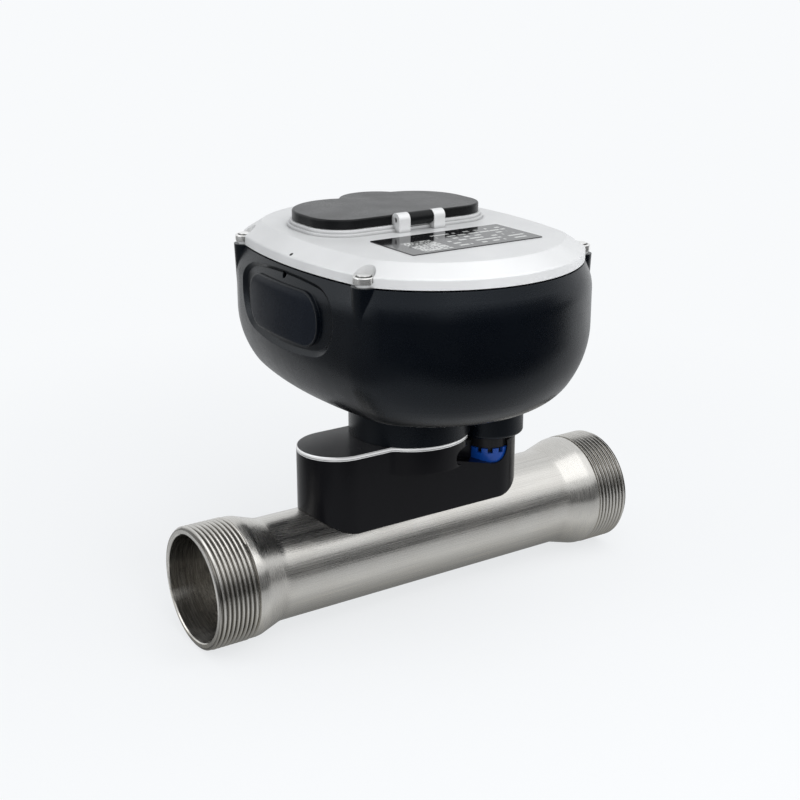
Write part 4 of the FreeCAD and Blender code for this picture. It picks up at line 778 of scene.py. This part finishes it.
@dataclass
class FlowTube:
    """The stainless tube with a cut pipe thread at both ends, sizes in millimetres."""

    half_length: float = 122.5
    plain_radius: float = 25.4
    collar_radius: float = 29.5
    inlet_steps: tuple[float, float, float] = (20.5, 5.0, 12.5)
    outlet_steps: tuple[float, float, float] = (18.5, 4.0, 15.0)
    taper_round: float = 10.0
    end_chamfer: float = 0.35
    runout: float = 0.7
    runout_round: float = 0.3
    mouth_radius: float = 26.0
    mouth_chamfer: float = 0.5
    mouth_depth: float = 30.0
    mouth_taper: float = 14.0
    mouth_round: float = 2.0
    bore_radius: float = 21.5
    crest_radius: float = 29.807
    thread_depth: float = 1.479
    thread_pitch: float = 2.309
    lead_in: float = 1.2
    ridge_sink: float = 0.3
    ridge_trim: float = 0.02
    ridge_halves: tuple[float, float, float] = (0.44, 0.11, 0.06)
    crest_drops: tuple[float, float] = (0.12, 0.02)
    segments: int = 160
    steps_per_turn: int = 96
    smooth_angle: float = 28.0

    def build(self) -> None:
        """Build the turned body and wind both threads on it."""
        body = self.turned_body()
        for side, steps in ((-1, self.inlet_steps), (1, self.outlet_steps)):
            collect(body, self.thread(side, steps[0]))
        bmesh.ops.scale(body, vec=(MM, MM, MM), verts=body.verts)
        piece = settle(body, "flow_tube_threaded", STEEL, self.smooth_angle)
        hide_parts("flow_tube")

    def turned_body(self) -> bmesh.types.BMesh:
        """Turn the tube's outside and bore from one closed profile.

        Returns:
            The turned body.
        """
        face, root = self.half_length, self.crest_radius - self.thread_depth
        outline: list[Corner] = []
        for side, (thread, collar, taper) in ((-1, self.inlet_steps), (1, self.outlet_steps)):
            run = [(face, root - self.end_chamfer, 0.0), (face - self.end_chamfer, root, 0.0),
                   (face - thread, root, 0.0),
                   (face - thread - self.runout, self.collar_radius, self.runout_round),
                   (face - thread - collar, self.collar_radius, self.taper_round),
                   (face - thread - collar - taper, self.plain_radius, self.taper_round)]
            points = [(side * x, r, rounding) for x, r, rounding in run]
            outline += points if side < 0 else reversed(points)
        depth = face - self.mouth_depth
        mouth = [(face, self.mouth_radius + self.mouth_chamfer, 0.0),
                 (face - self.mouth_chamfer, self.mouth_radius, 0.0),
                 (depth, self.mouth_radius, self.mouth_round),
                 (depth - self.mouth_taper, self.bore_radius, self.mouth_round)]
        outline += mouth
        outline += [(-x, r, rounding) for x, r, rounding in reversed(mouth)]
        return lathe(outline, self.segments)

    def thread(self, side: int, length: float) -> bmesh.types.BMesh:
        """Wind one thread as a ridge that stands in the turned body.

        Args:
            side: -1 at the inlet, 1 at the outlet.
            length: Threaded length.

        Returns:
            The ridge, trimmed at the end face and at the collar.
        """
        crest, pitch = self.crest_radius, self.thread_pitch
        levels = [crest - self.thread_depth - self.ridge_sink, *(crest - drop for drop in self.crest_drops)]
        rising = [(-half, level) for half, level in zip(self.ridge_halves, levels)]
        section = rising + [(-x, r) for x, r in reversed(rising)]
        start = self.half_length - length - pitch
        shape = bmesh.new()
        points = [shape.verts.new((start + x * pitch, 0.0, r)) for x, r in section]
        edges = [shape.edges.new((a, b)) for a, b in zip(points, points[1:] + points[:1])]
        turns = math.ceil(length / pitch) + 2
        bmesh.ops.spin(shape, geom=points + edges, cent=(0, 0, 0), axis=(1, 0, 0),
                       dvec=(pitch / self.steps_per_turn, 0, 0), angle=math.tau * turns,
                       steps=turns * self.steps_per_turn)
        face, collar = self.half_length - self.ridge_trim, self.half_length - length + self.ridge_trim
        for place, facing in ((face, 1), (collar, -1)):
            everything = shape.verts[:] + shape.edges[:] + shape.faces[:]
            bmesh.ops.bisect_plane(shape, geom=everything, dist=1e-5, plane_co=(place, 0, 0),
                                   plane_no=(facing, 0, 0), clear_outer=True)
            bmesh.ops.holes_fill(shape, edges=[edge for edge in shape.edges if edge.is_boundary])
        for vert in shape.verts:
            room = crest - self.lead_in + (self.half_length - vert.co.x)
            radius = math.hypot(vert.co.y, vert.co.z)
            if radius > room:
                vert.co.yz = vert.co.yz * (room / radius)
        if side < 0:
            bmesh.ops.rotate(shape, verts=shape.verts, cent=(0, 0, 0), matrix=Matrix.Rotation(math.pi, 3, "Z"))
        return shape


def lathe(outline: Sequence[Corner], segments: int, closed: bool = True) -> bmesh.types.BMesh:
    """Turn a profile about the X axis.

    Args:
        outline: The profile's corners, in order.
        segments: Faces round the axis.
        closed: Whether the last point joins the first; an open profile starts and ends on the axis.

    Returns:
        The turned shape.
    """
    shape = bmesh.new()
    points = [shape.verts.new((x, 0.0, r)) for x, r, _ in outline]
    for first, second in zip(points, points[1:] + points[:1] if closed else points[1:]):
        shape.edges.new((first, second))
    places = [point.co.copy() for point in points]
    for index, (_, _, rounding) in enumerate(outline):
        if rounding:
            before, here, after = (places[(index + step) % len(places)] for step in (-1, 0, 1))
            turn = (here - before).angle(after - here)
            bmesh.ops.bevel(shape, geom=[points[index]], offset=rounding * math.tan(turn / 2),
                            offset_type="OFFSET", segments=8, profile=0.5, affect="VERTICES", material=-1)
    bmesh.ops.spin(shape, geom=shape.verts[:] + shape.edges[:], cent=(0, 0, 0), axis=(1, 0, 0),
                   dvec=(0, 0, 0), angle=math.tau, steps=segments, use_merge=True)
    bmesh.ops.remove_doubles(shape, verts=shape.verts, dist=1e-4)
    return shape


def stand(shape: bmesh.types.BMesh, place: Sequence[float], lean: float = 0.0) -> bmesh.types.BMesh:
    """Turn a lathed shape upright, in metres.

    Args:
        shape: The shape in millimetres, lying along X.
        place: Where its axis starts, in metres.
        lean: How far it leans towards -X, in radians.

    Returns:
        The same shape, standing along Z.
    """
    bmesh.ops.rotate(shape, verts=shape.verts, cent=(0, 0, 0), matrix=Matrix.Rotation(-math.pi / 2 - lean, 3, "Y"))
    bmesh.ops.scale(shape, vec=(MM, MM, MM), verts=shape.verts)
    bmesh.ops.translate(shape, vec=place, verts=shape.verts)
    return shape


def collect(target: bmesh.types.BMesh, extra: bmesh.types.BMesh) -> None:
    """Move one shape's geometry into another and free it."""
    mesh = bpy.data.meshes.new("collected")
    extra.to_mesh(mesh)
    extra.free()
    target.from_mesh(mesh)
    bpy.data.meshes.remove(mesh)


@dataclass
class CadPieces:
    """CAD nodes that keep their meshes, and the finishes that they get."""

    finishes: dict[str, Finish] = field(default_factory=dict)

    def build(self) -> None:
        """Dress each piece."""
        for node, finish in self.finishes.items():
            dress(node, finish)


@dataclass
class Saddle(CadPieces):
    """The block on the tube with its closing plate, connector, locking ring and transducers."""

    finishes: dict[str, Finish] = field(default_factory=lambda: {
        "saddle_block": SADDLE_BLACK, "closing_plate": PLATE_COAT,
        "connector_plug": PLUG_BLACK, "connector_socket": PLUG_BLACK, "contact_pins": GOLD,
        "locking_ring": RING_BLUE, "transducers": CERAMIC, "transducer_seals": RUBBER})


@dataclass
class Head(CadPieces):
    """The register housing, its cover, lid and what lies inside."""

    finishes: dict[str, Finish] = field(default_factory=lambda: {
        "housing": HOUSING_BLACK, "neck_seal": RUBBER, "badge_plate": BADGE_FILM,
        "cover": COVER_SILVER, "cover_gasket": RUBBER, "lid": LID_BLACK, "hinge_pin": PIN_SHADE_STEEL,
        "window_glass": GLASS, "window_seal": RUBBER, "rating_plate": RATING_FILM,
        "circuit_board": BOARD_GREEN, "board_screws": NICKEL, "display_module": DISPLAY_GREY,
        "battery_cells": CELL_WRAP, "battery_tray": TRAY_GREY})


@dataclass
class CoverScrews:
    """The four cover screws, each with a raised disc on its head, sizes in millimetres."""

    head_radius: float = 4.95
    seat_height: float = 2.8
    head_bottom: float = -0.6
    bottom_round: float = 0.3
    ring_height: float = 2.5
    rim_round: float = 0.5
    head_height: float = 3.2
    disc_radius: float = 3.15
    disc_round: float = 0.25
    groove: float = 0.55
    groove_round: float = 0.15
    shank_radius: float = 2.0
    shank_length: float = 14.0
    tip_chamfer: float = 0.6
    segments: int = 48
    smooth_angle: float = 30.0

    def build(self) -> None:
        """Turn a screw for each of the CAD screws' places."""
        low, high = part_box("cover_screws")
        reach = self.head_radius * MM
        screws = bmesh.new()
        for x in (low.x + reach, high.x - reach):
            for y in (low.y + reach, high.y - reach):
                screw = lathe(self.outline(), self.segments, closed=False)
                collect(screws, stand(screw, (x, y, high.z - self.seat_height * MM)))
        piece = settle(screws, "cover_screw_set", NICKEL, self.smooth_angle)
        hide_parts("cover_screws")

    def outline(self) -> list[Corner]:
        """Give the screw's profile from the shank's tip to the middle of the head.

        Returns:
            The profile's corners.
        """
        tip, top, ring = -self.shank_length, self.head_height, self.ring_height
        wall, dip = self.disc_radius, self.ring_height - self.groove
        return [(tip, 0.0, 0.0), (tip, self.shank_radius - self.tip_chamfer, 0.0),
                (tip + self.tip_chamfer, self.shank_radius, 0.0), (self.head_bottom, self.shank_radius, 0.0),
                (self.head_bottom, self.head_radius, self.bottom_round), (ring, self.head_radius, self.rim_round),
                (ring, wall + self.groove, self.groove_round), (dip, wall + self.groove, 0.0), (dip, wall, 0.0),
                (top, wall, self.disc_round), (top, 0.0, 0.0)]


@dataclass
class HoleShadePlug:
    """A dark plug that paints the shade in the cover's sealing-wire hole, sizes in millimetres."""

    place: Point = (-66.6, -2.8, 152.95)
    slope: float = 32.0
    radius: float = 0.7
    length: float = 1.2
    tip_round: float = 0.2
    crown_radius: float = 0.95
    crown_bottom: float = -0.1
    crown_top: float = 0.3
    crown_round: float = 0.25
    segments: int = 24

    def build(self) -> None:
        """Turn the plug and stand it in its hole."""
        outline = [(-self.length, 0.0, 0.0), (-self.length, self.radius, self.tip_round),
                   (self.crown_bottom, self.radius, 0.0), (self.crown_bottom, self.crown_radius, 0.0),
                   (self.crown_top, self.crown_radius, self.crown_round), (self.crown_top, 0.0, 0.0)]
        plug = lathe(outline, self.segments, closed=False)
        stand(plug, [value * MM for value in self.place], math.radians(self.slope))
        settle(plug, "wire_hole_shade_plug", RUBBER)


@dataclass
class DisplayFace:
    """The reading under the window: a pale field with dark noughts made of bars, sizes in millimetres."""

    frame_width: float = 2.2
    recess: float = 0.8
    field_thickness: float = 0.2
    field_corner: float = 1.0
    figures: int = 8
    figure_size: Size = (3.5, 7.6)
    pitch: float = 5.9
    bar_width: float = 0.75
    bar_gap: float = 0.2
    bar_height: float = 0.08
    bar_corner: float = 0.3

    def build(self) -> None:
        """Lay the field in the display's frame and the figures on it."""
        low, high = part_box("display_module")
        middle = (low + high) / 2 / MM
        level = high.z / MM - self.recess
        size = [(high[axis] - low[axis]) / MM - 2 * self.frame_width for axis in (0, 1)]
        panel = self.block((middle.x, middle.y, level + self.field_thickness / 2), (*size, self.field_thickness),
                           self.field_corner)
        reading = bmesh.new()
        start = middle.x - self.pitch * (self.figures - 1) / 2
        for index in range(self.figures):
            self.nought(reading, (start + index * self.pitch, middle.y, level + self.field_thickness))
        for shape, name, finish in ((panel, "display_field", DISPLAY_FIELD), (reading, "display_figures", DISPLAY_INK)):
            bmesh.ops.scale(shape, vec=(MM, MM, MM), verts=shape.verts)
            settle(shape, name, finish)

    def nought(self, target: bmesh.types.BMesh, place: Point) -> None:
        """Add one figure's six bars: top, bottom and four upright ones.

        Args:
            target: The shape that the bars join.
            place: The figure's middle.
        """
        wide, high = self.figure_size
        trim = self.bar_width + self.bar_gap
        level, upright = (wide - trim, self.bar_width), (self.bar_width, high / 2 - trim)
        bars = [(0.0, side * high / 2, level) for side in (1, -1)]
        bars += [(side * wide / 2, rise * high / 4, upright) for side in (-1, 1) for rise in (1, -1)]
        for x, y, size in bars:
            middle = (place[0] + x, place[1] + y, place[2] + self.bar_height / 2)
            collect(target, self.block(middle, (*size, self.bar_height), self.bar_corner))

    @staticmethod
    def block(middle: Sequence[float], size: Sequence[float], corner: float) -> bmesh.types.BMesh:
        """Make a flat plate with rounded corners.

        Args:
            middle: Its middle.
            size: Its width, depth and thickness.
            corner: How much of each upright corner is taken off.

        Returns:
            The plate.
        """
        shape = bmesh.new()
        bmesh.ops.create_cube(shape, size=1.0)
        bmesh.ops.scale(shape, vec=size, verts=shape.verts)
        bmesh.ops.translate(shape, vec=middle, verts=shape.verts)
        upright = [edge for edge in shape.edges if abs(edge.verts[0].co.z - edge.verts[1].co.z) > size[2] / 2]
        bmesh.ops.bevel(shape, geom=upright, offset=corner, offset_type="OFFSET", segments=2, profile=0.5,
                        affect="EDGES", material=-1)
        return shape


@dataclass(frozen=True)
class Lamp:
    """A softbox, in metres and watts."""

    name: str
    place: Point
    target: Point
    size: Size
    power: float
    in_gloss: bool = True

    def hang(self) -> None:
        """Hang the lamp, and let reflections show it or not."""
        data = bpy.data.lights.new(self.name, "AREA")
        data.shape = "RECTANGLE"
        data.size, data.size_y = self.size
        data.energy = self.power
        lamp = bpy.data.objects.new(self.name, data)
        bpy.context.scene.collection.objects.link(lamp)
        lamp.matrix_world = aim(self.place, self.target)
        lamp.visible_glossy = self.in_gloss


@dataclass(frozen=True)
class Card:
    """A grey card that only reflections see, in metres, with its tone as a share of the paper's."""

    name: str
    place: Point
    target: Point
    size: Size
    tone: float

    def put(self, paper: Colour) -> None:
        """Put the card up.

        Args:
            paper: The colour of white paper.
        """
        shape = bmesh.new()
        bmesh.ops.create_grid(shape, x_segments=1, y_segments=1, size=0.5)
        bmesh.ops.scale(shape, vec=(*self.size, 1.0), verts=shape.verts)
        bmesh.ops.transform(shape, matrix=aim(self.place, self.target), verts=shape.verts)
        made = bpy.data.materials.new(f"{self.name}_grey")
        made.use_nodes = True
        shader = made.node_tree.nodes["Principled BSDF"]
        shader.inputs["Base Color"].default_value = (0.0, 0.0, 0.0, 1.0)
        shader.inputs["Specular IOR Level"].default_value = 0.0
        shader.inputs["Emission Color"].default_value = opaque(paper)
        shader.inputs["Emission Strength"].default_value = self.tone
        card = place_mesh(shape, self.name, made)
        for kind in ("camera", "diffuse", "transmission", "shadow"):
            setattr(card, f"visible_{kind}", False)


@dataclass
class Studio:
    """Pale floor, white surround, soft lamps, grey cards and the camera, in metres."""

    paper: Colour = (0.94, 0.955, 0.97)
    paper_roughness: float = 0.9
    ambient: float = 0.5
    floor_radius: float = 6.0
    floor_gap: float = 0.0005
    fade: tuple[float, float] = (0.16, 0.55)
    near_glow: float = 0.74
    shade_rise: Ramp = (0.012, 0.048, 0.26, 0.85)
    shade_fall: Ramp = (0.055, 0.12, 0.0, -0.2)
    shade_far: Ramp = (0.25, 0.6, 0.0, 0.4)
    camera_place: Point = (-0.3709, -0.5479, 0.2893)
    camera_target: Point = (0.02755, 0.0498, 0.05195)
    lens: float = 63.0
    sensor: float = 36.0
    lamps: tuple[Lamp, ...] = (
        Lamp("overhead_softbox", (0.4, -0.36, 0.82), (0.4, 0.05, 0.02), (1.45, 0.9), 1.7, in_gloss=False),
        Lamp("inlet_sheen", (0.02, -0.36, 0.83), (0.02, 0.05, 0.03), (0.62, 0.9), 1.9),
        Lamp("outlet_sheen", (0.74, -0.36, 0.83), (0.74, 0.05, 0.03), (0.78, 0.9), 0.95),
        Lamp("left_softbox", (-1.1, 0.35, 0.7), (0.0, 0.0, 0.08), (0.7, 0.8), 2.5),
        Lamp("front_fill", (-0.35, -1.2, 0.45), (0.0, 0.0, 0.12), (0.8, 0.6), 8.5, in_gloss=False))
    cards: tuple[Card, ...] = (
        Card("floor_flag", (0.5, -1.17, CAD_BOX[0].z + 0.002), (0.5, -1.17, 1.0), (3.2, 1.9), 0.05),
        Card("left_flag", (-0.9, -0.05, CAD_BOX[0].z + 0.001), (-0.9, -0.05, 1.0), (1.4, 3.1), 0.25),
        Card("corner_flag", (-1.4, -1.0, 0.2), (0.0, 0.0, 0.1), (1.6, 0.8), 0.15),
        Card("front_flag", (0.75, -1.6, 0.2), (0.3, 0.0, 0.1), (3.2, 0.95), 0.17))

    def build(self) -> None:
        """Set the surround, floor, lamps, cards and camera."""
        scene = bpy.context.scene
        scene.view_settings.view_transform = "Standard"
        self.surround(scene)
        self.floor()
        for lamp in self.lamps:
            lamp.hang()
        for card in self.cards:
            card.put(self.paper)
        self.camera(scene)

    def surround(self, scene: bpy.types.Scene) -> None:
        """Show white paper to the camera and to gloss, and light the rest softly.

        Args:
            scene: The scene that gets the surround.
        """
        world = bpy.data.worlds.new("paper_surround")
        scene.world = world
        world.use_nodes = True
        graph = Graph(world.node_tree)
        rays = graph.add("LightPath").outputs
        seen = graph.math("ADD", rays["Is Camera Ray"], rays["Is Glossy Ray"])
        seen = graph.math("MINIMUM", graph.math("ADD", seen, rays["Is Transmission Ray"]), 1.0)
        ground = world.node_tree.nodes["Background"]
        graph.join(ground, "Strength", graph.remap(seen, 0.0, 1.0, self.ambient))
        ground.inputs["Color"].default_value = opaque(self.paper)

    def floor(self) -> None:
        """Lay the floor under the tube's ends."""
        shape = bmesh.new()
        bmesh.ops.create_circle(shape, cap_ends=True, segments=64, radius=self.floor_radius)
        bmesh.ops.translate(shape, verts=shape.verts, vec=(0, 0, CAD_BOX[0].z - self.floor_gap))
        place_mesh(shape, "paper_floor", self.floor_paper())

    def floor_paper(self) -> bpy.types.Material:
        """Make the floor's paper: shaded near the meter, plain white far off, and with a painted shadow under the tube
        where metal mirrors it.

        Returns:
            The paper's material.
        """
        made = bpy.data.materials.new("paper")
        made.use_nodes = True
        graph = Graph(made.node_tree)
        shader = made.node_tree.nodes["Principled BSDF"]
        shader.inputs["Base Color"].default_value = opaque(self.paper)
        shader.inputs["Roughness"].default_value = self.paper_roughness
        shader.inputs["Specular IOR Level"].default_value = 0.0
        rays = graph.add("LightPath").outputs
        spot = graph.add("TexCoord").outputs["Object"]
        reach = graph.add("VectorMath", {0: spot}, operation="LENGTH").outputs["Value"]
        far = graph.add("MapRange", {"Value": reach, "From Min": self.fade[0], "From Max": self.fade[1]},
                        interpolation_type="SMOOTHSTEP").outputs["Result"]
        direct = graph.math("MAXIMUM", rays["Is Camera Ray"], rays["Is Transmission Ray"])
        share = graph.product(graph.remap(far, 0.0, 1.0, self.near_glow), direct)
        plain = graph.add("Emission", {"Color": opaque(self.paper)})
        seen = graph.add("MixShader", {0: share, 1: shader.outputs[0], 2: plain.outputs[0]})
        # Painted shadow: what metal mirrors of the floor is darkened under the tube.
        mirrored = graph.add("Emission", {"Color": opaque(self.paper), "Strength": self.tube_shade(graph, spot)})
        mixed = graph.add("MixShader", {0: rays["Is Glossy Ray"], 1: seen.outputs[0], 2: mirrored.outputs[0]})
        graph.join(made.node_tree.nodes["Material Output"], "Surface", mixed.outputs[0])
        return made

    def tube_shade(self, graph: Graph, spot: Socket) -> Socket:
        """Shade the floor that polished metal mirrors, darkest right under the tube.

        Args:
            graph: The floor's nodes.
            spot: Object coordinates on the floor.

        Returns:
            The tone, 1 for white paper.
        """
        axes = graph.add("SeparateXYZ", {0: spot}).outputs
        past = graph.math("SUBTRACT", graph.math("ABSOLUTE", axes["X"]), CAD_BOX[1].x)
        aside = graph.span(graph.math("MAXIMUM", past, 0.0), axes["Y"])
        near = graph.math("ADD", graph.remap(aside, *self.shade_rise), graph.remap(aside, *self.shade_fall))
        return graph.math("ADD", near, graph.remap(aside, *self.shade_far))

    def camera(self, scene: bpy.types.Scene) -> None:
        """Place the camera at the photograph's angle.

        Args:
            scene: The scene that gets the camera.
        """
        data = bpy.data.cameras.new("camera")
        data.lens = self.lens
        data.sensor_width = self.sensor
        camera = bpy.data.objects.new("camera", data)
        scene.collection.objects.link(camera)
        camera.matrix_world = aim(self.camera_place, self.camera_target)
        scene.camera = camera


def aim(place: Point, target: Point) -> Matrix:
    """Place something so that its -Z axis points at a target.

    Args:
        place: Where it is.
        target: Where it points.

    Returns:
        Its matrix.
    """
    line = Vector(target) - Vector(place)
    return Matrix.Translation(place) @ line.to_track_quat("-Z", "Y").to_matrix().to_4x4()


def main() -> None:
    """Build the meter's pieces in order and log each one."""
    logging.basicConfig(level=logging.INFO, format="%(message)s")
    for part in (FlowTube(), Saddle(), Head(), CoverScrews(), HoleShadePlug(), DisplayFace(), Studio()):
        part.build()
        LOG.info("finished %s", type(part).__name__)


if __name__ == "__main__":
    main()
